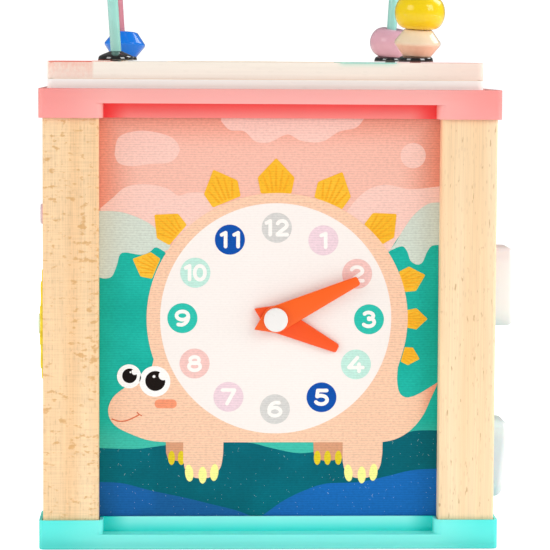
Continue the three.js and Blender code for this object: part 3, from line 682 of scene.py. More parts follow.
# ---- the picture on the front

DIAL = middle("clock_pin").xz
DIAL_RADIUS = 40.45
DIAL_SHIFT = 0.15  # the printed dial sits this far to the right of its pin
GROUND = 9.6  # the panel shows above this height
SKYLINE = 150.2  # and below this one


def front_clouds():
    e = PANEL_EDGE
    left_cloud = [(-11, -2), (-9.5, 4), (-3, 6.2), (4, 5.6), (9.5, 3.5), (11.6, -0.5), (8.5, -4.5), (2, -5.2),
                  (-5, -6), (-9.5, -5), (-11, -2)]
    top_cloud = [(-17, 148.7), (-14, 145.7), (-9, 145.2), (-5, 141.7), (0, 141.5), (6, 144.2), (11, 142),
                 (18, 141.7), (24, 145.2), (30, 146.7), (33, SKYLINE)]
    left_bank = [(-58.9, 118.3), (-54.8, 121.8), (-49.8, 125.8), (-42.8, 126.7), (-35.8, 125.3),
                 (-31.9, 122.8), (-27.9, 123.8), (-21.9, 123.3), (-14.9, 117.8), (-9.9, 109.9)]
    right_bank = [(23.9, 111.9), (27.9, 118.8), (33.9, 124.8), (40.8, 126.8), (48.8, 125.3), (59.4, 126.3)]
    clouds = [
        placed(curve(left_cloud)[:-1], -43, 139),
        [(-17, SKYLINE), *curve(top_cloud)],
        circle(50, 137, 4.4),
        [(-e, 112), *curve(left_bank), (-20, 104)],
        [(30, 104), *curve(right_bank), (e, 104)],
    ]
    layer("front_clouds", clouds, 0.02, ink("cloud_ink", "f6cabd"))


def front_hills():
    """Green hills with snow on their heads."""
    e = PANEL_EDGE
    hills = [
        (-e, 30), (-e, 113.8), *curve([(-51.8, 111.9), (-43.8, 108.9), (-37.8, 104.9), (-29.9, 91.9)]),
        (-20, 60), (24, 60), *curve([(33.9, 91.9), (41.8, 103.4), (47.8, 110.9), (59.2, 113.9)]), (e, 30),
    ]
    hill_ink = ink("hill_ink", "18ac9b", second="1fb6a5", fade=("Z", 46, 35, "40bda9"))
    layer("front_hills", [hills], 0.04, hill_ink)
    snow = []
    for crest, foot in (
        ([(-e, 117.4), (-51.8, 117), (-44.8, 114.6), (-39.8, 111.4), (-33.8, 104.4)],
         [(-36.8, 103.3), (-39.6, 104.7), (-41.8, 103.1), (-44.8, 102.1), (-50.3, 102.9), (-52.2, 101.9),
          (-53.2, 98.4), (-54.8, 94.7), (-57.1, 93.8), (-e, 94.2)]),
        ([(e, 120.7), (55.3, 120.1), (50.5, 116.3), (46.6, 110.8), (43.3, 105.4), (37.8, 99.9)],
         [(42.3, 103.8), (46.3, 105.3), (48.2, 103.5), (49.4, 100.3), (51.6, 98.9), (53.6, 99.7),
          (55.1, 103.1), (56.8, 105.4), (e, 105.8)]),
    ):
        snow.append([*curve(crest), *curve(foot)])
    layer("front_snow", snow, 0.06, ink("snow_ink", "d0d9cc"))


def front_ground():
    """A dark band of ground with two waves before it."""
    e = PANEL_EDGE
    ground = [
        (-e, 34.2), (-46.2, 33.9), (-35.6, 35.2), (-18.2, 36.9), (-6.6, 36), (2.1, 33.9), (11.8, 32.3),
        (23.4, 34.2), (35.9, 36.4), (45.6, 38.4), (51.4, 40.2), (e, 40.4),
    ]
    ground_ink = ink("ground_ink", "00626f", specks=0.55, second="006b79")
    layer("front_ground", [[(-e, GROUND), *curve(ground), (e, GROUND)]], 0.08, ground_ink)
    left_wave = [
        (-e, 22.2), (-51.1, 21.7), (-41.4, 19.2), (-28.9, 16.5), (-20.1, 14.3), (-11.4, 12.1), (-5, GROUND),
    ]
    right_wave = [
        (-2.8, GROUND), (0.2, 11.8), (5.6, 15.6), (13, 19.2), (20.4, 21.5), (32.1, 22.1), (41.7, 24.1),
        (50.5, 26.2), (e, 26.8),
    ]
    waves = [[(-e, GROUND), *curve(left_wave)], [*curve(right_wave), (e, GROUND)]]
    wave_ink = ink("wave_ink", "195c98", specks=0.55, second="1a62a8", fade=("X", -14, 24, "1769b6"))
    layer("front_waves", waves, 0.1, wave_ink)


def plate(size, angle, distance):
    """A pointed back plate standing on the body's outline at the given angle round the dial."""
    outline = [(-0.43, 0.0), (0.43, 0.0), (0.52, 0.45), (0.0, 1.0), (-0.52, 0.45)]
    scaled = [(size * u, size * v) for u, v in outline]
    return seated(soft_corners(scaled, size * 0.05), angle, distance)


def seated(points, angle, distance):
    """Points drawn with +V outwards, placed at an angle and distance from the dial's centre."""
    a = math.radians(angle)
    return placed(points, DIAL.x + distance * math.cos(a), DIAL.y + distance * math.sin(a), angle - 90)


def soft_corners(outline, radius, steps=5):
    """The outline with each corner replaced by a short curve."""
    points = []
    for i, corner in enumerate(outline):
        here = Vector(corner)
        before = here + (Vector(outline[i - 1]) - here).normalized() * radius
        after = here + (Vector(outline[(i + 1) % len(outline)]) - here).normalized() * radius
        for k in range(steps + 1):
            t = k / steps
            points.append(tuple(before * (1 - t) ** 2 + here * 2 * t * (1 - t) + after * t ** 2))
    return points


PLATES = (  # angle round the dial, size, distance of the foot
    (90, 12.4, 43.8), (112.8, 12.2, 44.3), (65.8, 12.2, 44.2), (139.4, 10.9, 44.9), (41.1, 11, 45),
    (157.3, 8.9, 45.2), (16.4, 8.6, 46.1), (0, 7.2, 46.2), (-15.6, 6.2, 46.5),
)


def front_plates():
    plates = [plate(size, angle, distance) for angle, size, distance in PLATES]
    layer("back_plates", plates, 0.1, ink("plate_ink", "f5b62c", second="f7bf3a"))
    ribs = []
    for angle, size, distance in PLATES:
        for lean in (-0.34, -0.17, 0.0, 0.17, 0.34):
            top, foot, tip = 0.8 - abs(lean) * 0.8, lean * 0.6, lean * 1.1
            rib = [(foot - 0.036, 0.06), (foot + 0.036, 0.06), (tip + 0.022, top), (tip - 0.022, top)]
            ribs.append(seated([(size * u, size * v) for u, v in rib], angle, distance))
    layer("plate_ribs", ribs, 0.12, ink("rib_ink", "f2a925"))


NEAR_LEGS = (-22.9, 33.1)  # the middles of the two near legs


def front_animal():
    """The round-bodied animal that carries the dial: body, legs, claws and face."""
    peach = ink("body_ink", "f6c8a9", weave=1.25, fade=("X", 52, 59, "ee9c7c"))
    body = [
        *((2.9 + 45.7 * u, DIAL.y + 44 * v) for u, v in arc(0, 0, 1, -17, 199, 96)),
        *curve([
            (-41.3, 61.1), (-45.3, 58.3), (-50.1, 55.7), (-54.6, 51.9), (-56.2, 47.1), (-54.1, 42.4),
            (-48.2, 39.1), (-41.4, 36.8), (-33.8, 36.2),
        ]),
        *curve([(39.8, 36.2), (44.8, 37.3), (49.8, 40.3), (54.2, 45.5), (57.2, 52.1), (PANEL_EDGE, 57.5)]),
        *curve([(53.8, 53.9), (50.8, 52.5), (48.2, 52.1), (46, 53.7), (45.1, 57.9), (45.3, 62.7)]),
    ]
    layer("animal_body", [body], 0.12, peach)
    foot = [(-6.5, 3.4), (-5, 1.6), (-2.6, 0), (1.6, 0), (4.2, 1.4), (6.2, 4), (7, 8.6)]
    near_leg = [(-7, 15.5), (-7, 6), *curve(foot), (7.1, 15.5)]
    near = [placed(near_leg, across, 23.6) for across in NEAR_LEGS]
    layer("animal_near_legs", near, 0.14, peach)
    far_legs = []
    for across, left, right in ((-31.3, 4.8, 4.8), (20.6, 4.9, 6.2)):
        sole = curve([(-left + 0.8, 1), (0, 0.2), (right - 0.8, 1)])
        far_legs.append(placed([(-left, 9), (-left + 0.2, 3.2), *sole, (right, 9)], across, 29.4))
    layer("animal_far_legs", far_legs, 0.11, ink("far_leg_ink", "d79b78"))
    near_claws = [oval(across + step, up, 1.45, 3.0, step * -1.2)
                  for across in NEAR_LEGS for step, up in ((-4.9, 25.3), (-0.2, 24.6), (3.9, 25.5))]
    layer("animal_claws", near_claws, 0.16, ink("claw_ink", "faf996"))
    far_claws = [oval(across, 30.7, 1.2, 2.5) for across in (-34, -30.6, 17.2, 20.8, 24.6)]
    layer("animal_far_claws", far_claws, 0.13, ink("far_claw_ink", "e1c828"))


EYES = (  # place and radius of the white, radius of the pupil, then each glint's place and radius
    (-48.9, 59.5, 4.2, 2.57, (1.75, 1.4, 1.05), (0.3, 1.28, 0.3)),
    (-39.9, 57.7, 5.4, 3.5, (2.8, 1.9, 1.65), (-0.47, 1.57, 0.5)),
)
PUPIL_SHIFT = 0.17  # how far a pupil stands to the right of its eye's middle, and above it


def front_face():
    """Two round eyes, a blush and a small smile."""
    whites, pupils, glints = [], [], []
    for x, z, eye, pupil, large_glint, small_glint in EYES:
        whites.append(circle(x, z, eye))
        x, z = x + PUPIL_SHIFT, z + PUPIL_SHIFT
        pupils.append(circle(x, z, pupil))
        glints += [circle(x + across, z + up, radius) for across, up, radius in (large_glint, small_glint)]
    layer("eye_whites", whites, 0.16, ink("eye_ink", "fbf8f4", 0.5))
    layer("eye_pupils", pupils, 0.18, ink("pupil_ink", "1d1512", 0.5))
    layer("eye_glints", glints, 0.2, ink("glint_ink", "fbf6f2", 0.5))
    blush = long_square(3.85, 1.55, 1.5)
    layer("face_blush", [blush], 0.14, ink("blush_ink", "f2956f"), across=-36.1, up=49.8)
    smile = ribbon(curve([(-55, 44.5), (-52.4, 43.7), (-49.4, 44), (-45.4, 45.9)]), 0.235)
    dimple = ribbon(curve([(-46.2, 46.9), (-45.4, 46.1), (-44.4, 45.6)]), 0.2)
    layer("face_smile", [smile, dimple], 0.14, ink("smile_ink", "dd7450"))


def rounded_ribbon(line, half_width, steps=8):
    """A stroke of constant width with round ends."""
    outline = ribbon(line, half_width)
    count = len(line)
    left, right = outline[:count], outline[count:]

    def cap(centre, start):
        first = Vector(start) - Vector(centre)
        angle = math.degrees(math.atan2(first.y, first.x))
        return arc(*centre, half_width, angle, angle - 180, steps)[1:-1]

    return [*left, *cap(line[-1], left[-1]), *right, *cap(line[0], right[-1])]


def ribbon(line, half_width):
    """A stroke of constant width along a line."""
    left, right = [], []
    for i, point in enumerate(line):
        ahead, behind = line[min(i + 1, len(line) - 1)], line[max(i - 1, 0)]
        direction = (Vector(ahead) - Vector(behind)).normalized() * half_width
        left.append((point[0] - direction.y, point[1] + direction.x))
        right.append((point[0] + direction.y, point[1] - direction.x))
    return left + right[::-1]


NUMBER_INKS = {  # colour of each pair of opposite numbers, from 12 round to 5
    0: "d3d0cc", 1: "ecd0d8", 2: "f0c3bc", 3: "2fc0ad", 4: "bfe6d8", 5: "0c4fa8",
}
NUMBER_RING = (32.66, 31.87)  # the numbers stand on an oval: its half width and half height
NUMBER_DISC = 5.25


def dial():
    centre = (DIAL.x + DIAL_SHIFT, DIAL.y)
    face = ink("dial_ink", "f6ede7", 0.25, mottled=0.01)
    layer("dial_face", [circle(*centre, DIAL_RADIUS, 144)], 0.14, face)
    spots = {}
    for hour in range(12):
        a = math.radians(89.7 - 30 * hour)
        spots[hour] = (centre[0] + NUMBER_RING[0] * math.cos(a), centre[1] + NUMBER_RING[1] * math.sin(a))
    for hour, colour in NUMBER_INKS.items():
        discs = [circle(*spots[number], NUMBER_DISC) for number in (hour, hour + 6)]
        disc_ink = ink(f"number_ink_{hour or 12}", colour, 0.8)
        layer(f"number_discs_{hour or 12}", discs, 0.17, disc_ink)
    numerals(spots)


FIGURES = {  # strokes of each figure, one unit tall; a ring is (across, up, half width, half height)
    "0": [("ring", 0, 0, 0.25, 0.4)],
    "1": [[(-0.13, 0.28), (0.06, 0.4)], [(0.06, 0.4), (0.06, -0.4)]],
    "2": [arc(0, 0.17, 0.23, 160, -35, 20) + [(-0.23, -0.37)], [(-0.23, -0.4), (0.25, -0.4)]],
    "3": [arc(-0.02, 0.2, 0.2, 145, -85, 20), arc(-0.02, -0.17, 0.24, 88, -145, 20)],
    "4": [[(0.06, 0.4), (-0.29, -0.16)], [(-0.29, -0.18), (0.29, -0.18)], [(0.13, 0.02), (0.13, -0.4)]],
    "5": [[(0.2, 0.4), (-0.17, 0.4)], [(-0.17, 0.4), (-0.2, 0.06)], arc(-0.03, -0.15, 0.25, 128, -150, 24)],
    "6": [("ring", 0, -0.15, 0.24, 0.24),
          curve([(0.17, 0.37), (0, 0.38), (-0.16, 0.24), (-0.24, 0.02), (-0.235, -0.15)])],
    "7": [[(-0.25, 0.4), (0.25, 0.4)], [(0.25, 0.38), (-0.06, -0.4)]],
    "8": [("ring", 0, 0.2, 0.185, 0.19), ("ring", 0, -0.17, 0.235, 0.225)],
    "9": [("ring", 0, 0.15, 0.24, 0.24),
          curve([(-0.17, -0.37), (0, -0.38), (0.16, -0.24), (0.24, -0.02), (0.235, 0.15)])],
}
STROKE = 0.108  # half the width of a figure's stroke
FIGURE_SIZE = 6.0
PAIRS = {"11": 1.7, "12": 1.2, "10": 0.5}  # gap between the figures of a two-figure number


def figure_reach(digit, widening):
    """How far a figure reaches to its left and right."""
    places = []
    for stroke in FIGURES[digit]:
        if stroke[0] == "ring":
            places += [stroke[1] - stroke[3], stroke[1] + stroke[3]]
        else:
            places += [u for u, _ in stroke]
    return min(places) * widening - STROKE, max(places) * widening + STROKE


def figure(bm, digit, across, up, widening):
    """One figure in plain rounded strokes, each a hair higher than the one before."""
    def sized(points):
        return [(across + FIGURE_SIZE * u, up + FIGURE_SIZE * v) for u, v in points]

    for index, stroke in enumerate(FIGURES[digit]):
        height = 0.2 + 0.008 * index
        if stroke[0] == "ring":
            _, u, v, wide, tall = stroke
            outer = sized(oval(u, v, wide * widening + STROKE, tall + STROKE))
            inner = sized(oval(u, v, wide * widening - STROKE, tall - STROKE))
            rings = [raised(outer, 0.1), raised(outer, height), raised(inner, height), raised(inner, 0.1)]
            loft(bm, rings, closed=True)
        else:
            line = [(u * widening, v) for u, v in stroke]
            prism(bm, sized(rounded_ribbon(line, STROKE)), 0.1, height)


def numerals(spots):
    """The hours in plain rounded figures, each number centred on its disc."""
    bm = bmesh.new()
    for hour, (across, up) in spots.items():
        digits = str(hour or 12)
        widening = 1.4 if len(digits) == 1 else 1.2
        reaches = [figure_reach(digit, widening) for digit in digits]
        gap = PAIRS.get(digits, 0)
        width = sum(right - left for left, right in reaches) * FIGURE_SIZE + gap * (len(digits) - 1)
        start = across - width / 2
        for digit, (left, right) in zip(digits, reaches):
            figure(bm, digit, start - left * FIGURE_SIZE, up, widening)
            start += (right - left) * FIGURE_SIZE + gap
    on_side(bm, "front")
    piece("dial_numerals", bm, ink("numeral_ink", "faf4ee", 0.4, mottled=0.01), smooth=30)


# ---- clock hands and pins

HAND_HUB = 4.65  # radii of a hand's hub and tip, and the reach of its tail
HAND_TAIL = 8.2
HAND_TIP = 1.65
SHANK = 2.5  # radius of a pin behind its head
HEAD_THICKNESS = {"front": 1.8, "left": 1.15}


def hand_outline(length, inset=0.0):
    """A hand along +X: pointed tail, round hub and blunt tip, shrunk by the inset."""
    hub, tail, tip = HAND_HUB - inset, HAND_TAIL - inset * 1.7, HAND_TIP - inset
    end = length - inset
    tail_angle = math.degrees(math.acos(hub / tail))
    tip_angle = math.degrees(math.acos((hub - tip) / end))
    corner = 0.9 - inset
    upper = arc(0, 0, hub, tip_angle, 180 - tail_angle, 16)
    tip_curve = arc(end - corner, tip - corner, corner, 0, 90, 6)
    tail_curve = [(-tail + 0.35, 0.3), (-tail, 0.0), (-tail + 0.35, -0.3)]
    lower = [(u, -v) for u, v in reversed(upper)]
    lower_tip = [(u, -v) for u, v in reversed(tip_curve)]
    return [*tip_curve, *upper, *tail_curve, *lower, *lower_tip]


def hand(name, node, body, length, angle, material):
    nearest, farthest = (corner.y for corner in span(node))
    low, high = -FACE - farthest, -FACE - nearest
    edge = 0.35
    section = (
        (low, 0.1), (low + 0.1, 0.0), (high - edge, 0.0),
        (high - edge * 0.4, edge * 0.18), (high - edge * 0.1, edge * 0.55), (high, edge),
    )
    rings = [raised(placed(hand_outline(length, inset), 0, 0, angle), height) for height, inset in section]
    bm = lofted(rings)
    on_side(bm, "front", DIAL.x, DIAL.y)
    piece(name, bm, material, body, (node,), smooth=35)


def pin_cap(name, node, side, radius, material):
    """A pin with a softly domed head; its shank runs through the panel."""
    low, high = span(node)
    turn = Matrix.Rotation(-math.radians(SIDE_TURN[side]), 3, "Z")
    corners = [turn @ low, turn @ high]
    heights = sorted(-FACE - corner.y for corner in corners)
    across = sum(corner.x for corner in corners) / 2
    top = heights[1]
    under = top - HEAD_THICKNESS[side]
    profile = [
        (SHANK, heights[0]), (SHANK, under), (radius - 0.2, under), (radius, under + 0.2),
        *arc(radius - 0.5, top - 0.62, 0.5, 0, 70, 6),
        (radius * 0.6, top - 0.05), (radius * 0.3, top), (0.02, top),
    ]
    bm = turned(profile)
    on_side(bm, side, across, (low.z + high.z) / 2)
    piece(name, bm, material, "cube", (node,), smooth=50)


def clock():
    surfaced(printed(*sky_print("front_sky_print", "front")), "front_panel")
    front_clouds()
    front_hills()
    front_ground()
    front_plates()
    front_animal()
    front_face()
    dial()
    for name, length, angle, colour in (("hour", 24.2, -25.7, "f8530a"), ("minute", 32.0, 25.4, "fa6008")):
        orange = plastic(f"{name}_hand_plastic", colour, 0.38)
        hand(f"{name}_hand_moulded", f"clock_{name}_hand", f"{name}_hand", length, angle, orange)
    white = plastic("white_plastic", "efebe7", 0.28)
    pin_cap("clock_pin_cap", "clock_pin", "front", 4.15, white)
    surfaced(white, "clock_pin_lock", "gear_front_lock", "gear_upper_lock", "gear_large_lock")
    surfaced(white, "arch_slider_cap", "straight_slider_cap")


# ---- gears

TOOTH_PITCH = 10.28
TOOTH_HEIGHT = 4.6
EDGE_ANGLES = (0.0, 0.5, 1.0, math.pi / 2)  # steps of the teeth's rounded edge
GEARS = {  # teeth, colour, pin colour, height of the printed halo
    "front": (11, "fbe12a", "e4f5ea", 0.06),
    "upper": (8, "e58fa4", "efe6e2", 0.08),
    "large": (16, "3f9ad6", "f7f6f4", 0.04),
}


def gear_place(name):
    """A gear's (across, up) on the left side, from its pin."""
    pin = middle(f"gear_{name}_pin")
    return Vector((-pin.y, pin.z))


def pitch_radius(name):
    return GEARS[name][0] * TOOTH_PITCH / (2 * math.pi)


def first_teeth():
    """The angle of one tooth of each gear, so that all are in mesh as in the CAD."""
    large, front, upper = (gear_place(name) for name in ("large", "front", "upper"))
    to_front = math.atan2(*(front - large).yx)
    to_upper = math.atan2(*(upper - large).yx)
    off_line = (to_upper - to_front) * GEARS["large"][0] / GEARS["upper"][0]
    return {
        "large": to_front,
        "front": to_front + math.pi + math.pi / GEARS["front"][0],
        "upper": to_upper + math.pi + math.pi / GEARS["upper"][0] + off_line,
    }


def gear(name, first_tooth):
    teeth, colour = GEARS[name][:2]
    low, high = span(f"gear_{name}")
    back, front = 2.55, -low.x - FACE
    pitch = pitch_radius(name) + 0.2
    count = 32 * teeth

    def toothed(inset, height):
        points = []
        for i in range(count):
            angle = 2 * math.pi * i / count
            wave = math.tanh(1.9 * (math.cos(teeth * (angle - first_tooth)) - 0.3))
            radius = pitch + TOOTH_HEIGHT / 2 * wave - inset
            points.append((radius * math.cos(angle), radius * math.sin(angle), height))
        return points

    def hoop(radius, height):
        return round_ring(radius, height, count)

    web = pitch - TOOTH_HEIGHT / 2 - 2.6
    bore, hub, bevel = 2.8, 6.5, 0.8
    rings = [hoop(bore, 0.3), hoop(hub - 0.2, 0.3), hoop(hub, 0.5), hoop(hub, back)]
    rings += [toothed(bevel - bevel * math.sin(a), back + bevel - bevel * math.cos(a)) for a in EDGE_ANGLES]
    rings += [toothed(bevel - bevel * math.cos(a), front - bevel + bevel * math.sin(a)) for a in EDGE_ANGLES]
    rings += [hoop(web, front), hoop(web - 0.3, front - 0.1), hoop(web - 0.5, front - 1.4)]
    rings += [hoop(5.9, front - 1.4), hoop(5.6, front - 0.15), hoop(5.4, front), hoop(bore, front)]
    bm = lofted(rings, closed=True)
    place = gear_place(name)
    on_side(bm, "left", place.x, place.y)
    moulding = plastic(f"gear_{name}_plastic", colour, 0.4)
    piece(f"gear_{name}_moulded", bm, moulding, f"{name}_gear", (f"gear_{name}",))


def gear_side():
    surfaced(scenery("left_print", "left", 0.4), "left_panel")
    angles = first_teeth()
    for name, (_, _, pin_colour, height) in GEARS.items():
        gear(name, angles[name])
        pin = plastic(f"gear_{name}_pin_plastic", pin_colour)
        pin_cap(f"gear_{name}_pin_cap", f"gear_{name}_pin", "left", 3.7, pin)
        halo = circle(*gear_place(name), pitch_radius(name) + 5, 120)
        layer(f"gear_{name}_halo", [halo], height, ink(f"halo_ink_{name}", "fbe6d2"), side="left")


# ---- track sliders

STRAIGHT_TRACK_UP = 25.1
SLIDER_DROOP = 6  # degrees by which the straight track's loose knob hangs forward
RAINBOW_INNER = 42
RAINBOW_BAND = 3.2


def slider(name, body, across, up, droop, material):
    """A square knob with well rounded edges and a slightly crowned face."""
    low, high = span("arch_slider")
    face, back, half, edge, corner = high.x - FACE, 3.9, (high.y - low.y) / 2, 3.0, 7.0
    rings = [round_ring(3.1, height) for height in (-5.4, back)]
    quarter = quarter_turn(8)

    def ring(swing, height):
        return square_ring(half - edge + edge * swing, corner - edge + edge * swing, height)

    rings += [ring(math.sin(a), back + edge - edge * math.cos(a)) for a in quarter]
    rings += [ring(math.cos(a), face - edge + edge * math.sin(a)) for a in quarter]
    rings += [square_ring(half * k, 4.0 * k, face + 0.25 * (0.78 - k)) for k in (0.6, 0.35, 0.1)]
    bm = lofted(rings)
    pivot = Matrix.Translation((0, 0, -1.5))
    bm.transform(pivot @ Matrix.Rotation(math.radians(droop), 4, "X") @ pivot.inverted())
    on_side(bm, "right", across, up)
    piece(f"{name}_knob", bm, material, body, (name,), smooth=50)


def track_side():
    surfaced(scenery("right_print", "right", 1.9), "right_panel")
    white = plastic("knob_plastic", "fcfcfb", 0.3, glow=0.1)
    arch, low_knob = middle("arch_slider"), middle("straight_slider_cap")
    slider("arch_slider", "arch_knob", arch.y, arch.z, 0, white)
    slider("straight_slider", "straight_knob", low_knob.y, STRAIGHT_TRACK_UP, SLIDER_DROOP, white)
    for number, colour in enumerate(("f2705e", "f9c440", "35b8a4"), 1):
        inner = RAINBOW_INNER + RAINBOW_BAND * (number - 1)
        band = arc(0, arch.z, inner + RAINBOW_BAND, 0, 180, 60) + arc(0, arch.z, inner, 180, 0, 60)
        layer(f"rainbow_band_{number}", [band], 0.05, ink(f"rainbow_ink_{number}", colour), side="right")
    lumps = [oval(across, arch.z - 1.3, 9.5, 3.6) for across in (-46.5, 46.5)]
    layer("rainbow_clouds", lumps, 0.08, ink("rainbow_cloud_ink", "fbeee6"), side="right")


# ---- turning blocks

BLOCKS = {"left": "2fb5a5", "middle": "f9c935", "right": "f58f73"}


def turning_block(name, colour):
    low, high = span(f"turning_block_{name}")
    centre = (low + high) / 2
    half, edge, bore = (high.x - low.x) / 2, 2.5, 2.8
    rings = [round_ring(bore, -half)]
    for end, swing, rise in ((-1, math.sin, math.cos), (1, math.cos, math.sin)):
        for a in quarter_turn(6):
            wide, out = half - edge + edge * swing(a), half - edge + edge * rise(a)
            rings.append(square_ring(wide, 0.5 + edge * swing(a), end * out))
    rings.append(round_ring(bore, half))
    bm = lofted(rings, closed=True)
    bm.transform(Matrix.Translation(centre) @ Matrix.Rotation(math.pi / 2, 4, "Y"))
    paint = lacquer(f"block_lacquer_{name}", colour)
    piece(f"turning_block_{name}_lacquered", bm, paint, f"{name}_block", (f"turning_block_{name}",))
    block_figures(name, centre, half, f"{name}_block")


def star(points=5, outer=8.5, inner=4.2):
    corners = [(90 + 180 * i / points, outer if i % 2 == 0 else inner) for i in range(2 * points)]
    return [(r * math.cos(math.radians(a)), r * math.sin(math.radians(a))) for a, r in corners]


def block_figures(name, centre, half, body):
    """A plain figure on each of the four faces that turn past the window."""
    figures = [
        circle(0, 0, 8),
        soft_corners(star(), 1.0),
        soft_corners([(-8, -6.5), (8, -6.5), (0, 7.8)], 1.6),
        rounded_square(6.8, 1.4),
    ]
    start = {"left": 0, "middle": 1, "right": 3}[name]
    bm = bmesh.new()
    for turn in range(4):
        shape = prisms([figures[(start + turn) % 4]], half - 0.05, half + 0.06)
        shape.transform(Matrix.Rotation(math.pi / 2 * turn, 4, "X"))
        mesh = bpy.data.meshes.new("figure")
        shape.to_mesh(mesh)
        shape.free()
        bm.from_mesh(mesh)
        bpy.data.meshes.remove(mesh)
    bm.transform(Matrix.Translation(centre))
    piece(f"block_figures_{name}", bm, ink(f"figure_ink_{name}", "fdf4ea", 0.4), body, smooth=30)


WINDOW_BORDER = ((46.8, 19.6, 1.5), (50.5, 23.3, 4))  # half width, half height and corner, inside and outside


def long_square(wide, tall, corner):
    """A rounded square drawn out along its width."""
    return [(u + math.copysign(wide - tall, u), v) for u, v in rounded_square(tall, corner)]


def block_side():
    surfaced(scenery("back_print", "back", 3.4), "back_panel")
    for name, colour in BLOCKS.items():
        turning_block(name, colour)
    inner, outer = WINDOW_BORDER
    sections = ((inner, 0.0), (outer, 0.0), (outer, 0.05), (inner, 0.05))
    bm = lofted([raised(long_square(*border), height) for border, height in sections], closed=True)
    on_side(bm, "back", 0, 80)
    piece("window_border", bm, ink("border_ink", "fbeee6"), smooth=30)


# ---- bead maze

MAZE_CENTRE = -0.9
FOOT = 53  # a wire's foot stands this far from the centre, both across and in depth
FOOT_DISTANCE = FOOT * math.sqrt(2)
WIRE_RADIUS = 1.9
LEG_BEND = 4.2  # the legs stand upright below this height over the lid and lean out above it
SPREAD = 0.09  # by this much a unit of height


def rounded_path(corners, step=1.6):
    """Points along a polyline whose corners are rounded at their own radii."""
    points = [Vector(corners[0][:2])]
    for i in range(1, len(corners) - 1):
        corner, radius = Vector(corners[i][:2]), corners[i][2]
        arriving = (corner - Vector(corners[i - 1][:2])).normalized()
        leaving = (Vector(corners[i + 1][:2]) - corner).normalized()
        turn = arriving.angle(leaving)
        start = corner - arriving * radius * math.tan(turn / 2)
        inward = (leaving - arriving * leaving.dot(arriving)).normalized()
        points += straight(points[-1], start, step)
        count = max(3, int(radius * turn / step))
        for k in range(1, count + 1):
            angle = turn * k / count
            ahead, aside = radius * math.sin(angle), radius * (1 - math.cos(angle))
            points.append(start + arriving * ahead + inward * aside)
    points += straight(points[-1], Vector(corners[-1][:2]), step)
    return points


def straight(start, end, step):
    count = max(1, int((end - start).length / step))
    return [start.lerp(end, k / count) for k in range(1, count + 1)]


def wire(node, material, angle, shoulder, halfway):
    """A bent wire in the upright plane through the maze's centre at the given angle. Its bends at
    the shoulders and halfway between them are given as (height over the lid, radius)."""
    lean = FOOT_DISTANCE + (shoulder[0] - LEG_BEND) * SPREAD
    foot = span(node)[0].z - LID_HIGH.z
    half = [(FOOT_DISTANCE, foot, 0), (FOOT_DISTANCE, LEG_BEND, 6), (lean, *shoulder)]
    path = rounded_path([*half, (0, *halfway), *((-d, h, r) for d, h, r in reversed(half))])
    across = Vector((math.cos(math.radians(angle)), math.sin(math.radians(angle)), 0))
    upright = Vector((0, 0, 1))
    centre = Vector((MAZE_CENTRE, 0, LID_HIGH.z))
    side = across.cross(upright)
    rings = []
    for i, point in enumerate(path):
        ahead, behind = path[min(i + 1, len(path) - 1)], path[max(i - 1, 0)]
        along = (ahead - behind).normalized()
        outward = across * -along.y + upright * along.x
        at = centre + across * point.x + upright * point.y
        rings.append([at + side * u + outward * v for u, v in circle(0, 0, WIRE_RADIUS, 28)])
    bm = lofted(rings)
    piece(f"{node}_coated", bm, material, "cube", (node,), smooth=60)


def wire_foot(corner, x, y, material):
    """A glossy domed collar with a flat rim round a wire's foot."""
    profile = [
        (2.1, 0.3), (6.25, 0.3), (6.32, 0.42), (6.06, 1.55), (5.9, 1.82), (5.55, 2.08), (4.9, 2.4),
        (4.1, 2.75), (3.3, 3.06), (2.7, 3.3), (2.4, 3.5), (2.25, 3.57), (2.1, 3.5),
    ]
    bm = turned(profile, closed=True)
    bm.transform(Matrix.Translation((MAZE_CENTRE + x * FOOT, y * FOOT, LID_HIGH.z)))
    piece(f"wire_foot_{corner}", bm, material, "cube", (f"wire_plug_{corner}",), smooth=50)


def round_profile(bore=3.05, flat=4.5):
    """A pill-like bead: a flat top round the bore, full round sides and a countersunk underside."""
    half, reach = 5.7, 8.6 - flat
    side = []
    for i in range(25):
        a = math.radians(-90 + 7.5 * i)
        side.append((flat + reach * math.copysign(abs(math.cos(a)) ** 0.95, 1), half * math.sin(a)))
    return [(bore, -half + 1.4), *side, (bore + 0.3, half), (bore, half - 0.25)]


def edged_profile(bore=3.05):
    """A double cone with a rounded edge round its middle and a countersunk underside."""
    half, flat, edge, rounding = 4.85, 4.8, 7.95, 1.25
    return [
        (bore, -half + 1.4), (flat - 0.3, -half + 0.05), (flat - 0.1, -half + 0.12),
        (flat + 0.2, -half + 0.4),
        *arc(edge - rounding, 0, rounding, -36, 36, 8),
        (flat + 0.2, half - 0.4), (flat - 0.1, half - 0.12), (flat - 0.5, half),
        (bore + 0.3, half), (bore, half - 0.25),
    ]


def bead(name, profile, axis, colour, aside=0.0, lower=0.0, width=1.0):
    """A bead near its CAD node's middle, with its bore along the axis. It is loose on its wire, so
    it may stand a little aside and lower."""
    node = f"bead_{name}"
    bm = turned([(radius * width, up) for radius, up in profile], 80, closed=True)
    tilt = Vector((0, 0, 1)).rotation_difference(Vector(axis)).to_matrix().to_4x4()
    bm.transform(Matrix.Translation(middle(node) + Vector((aside, 0, -lower))) @ tilt)
    piece(f"{node}_turned", bm, lacquer(f"{name}_lacquer", colour), f"{name}_bead", (node,), smooth=35)


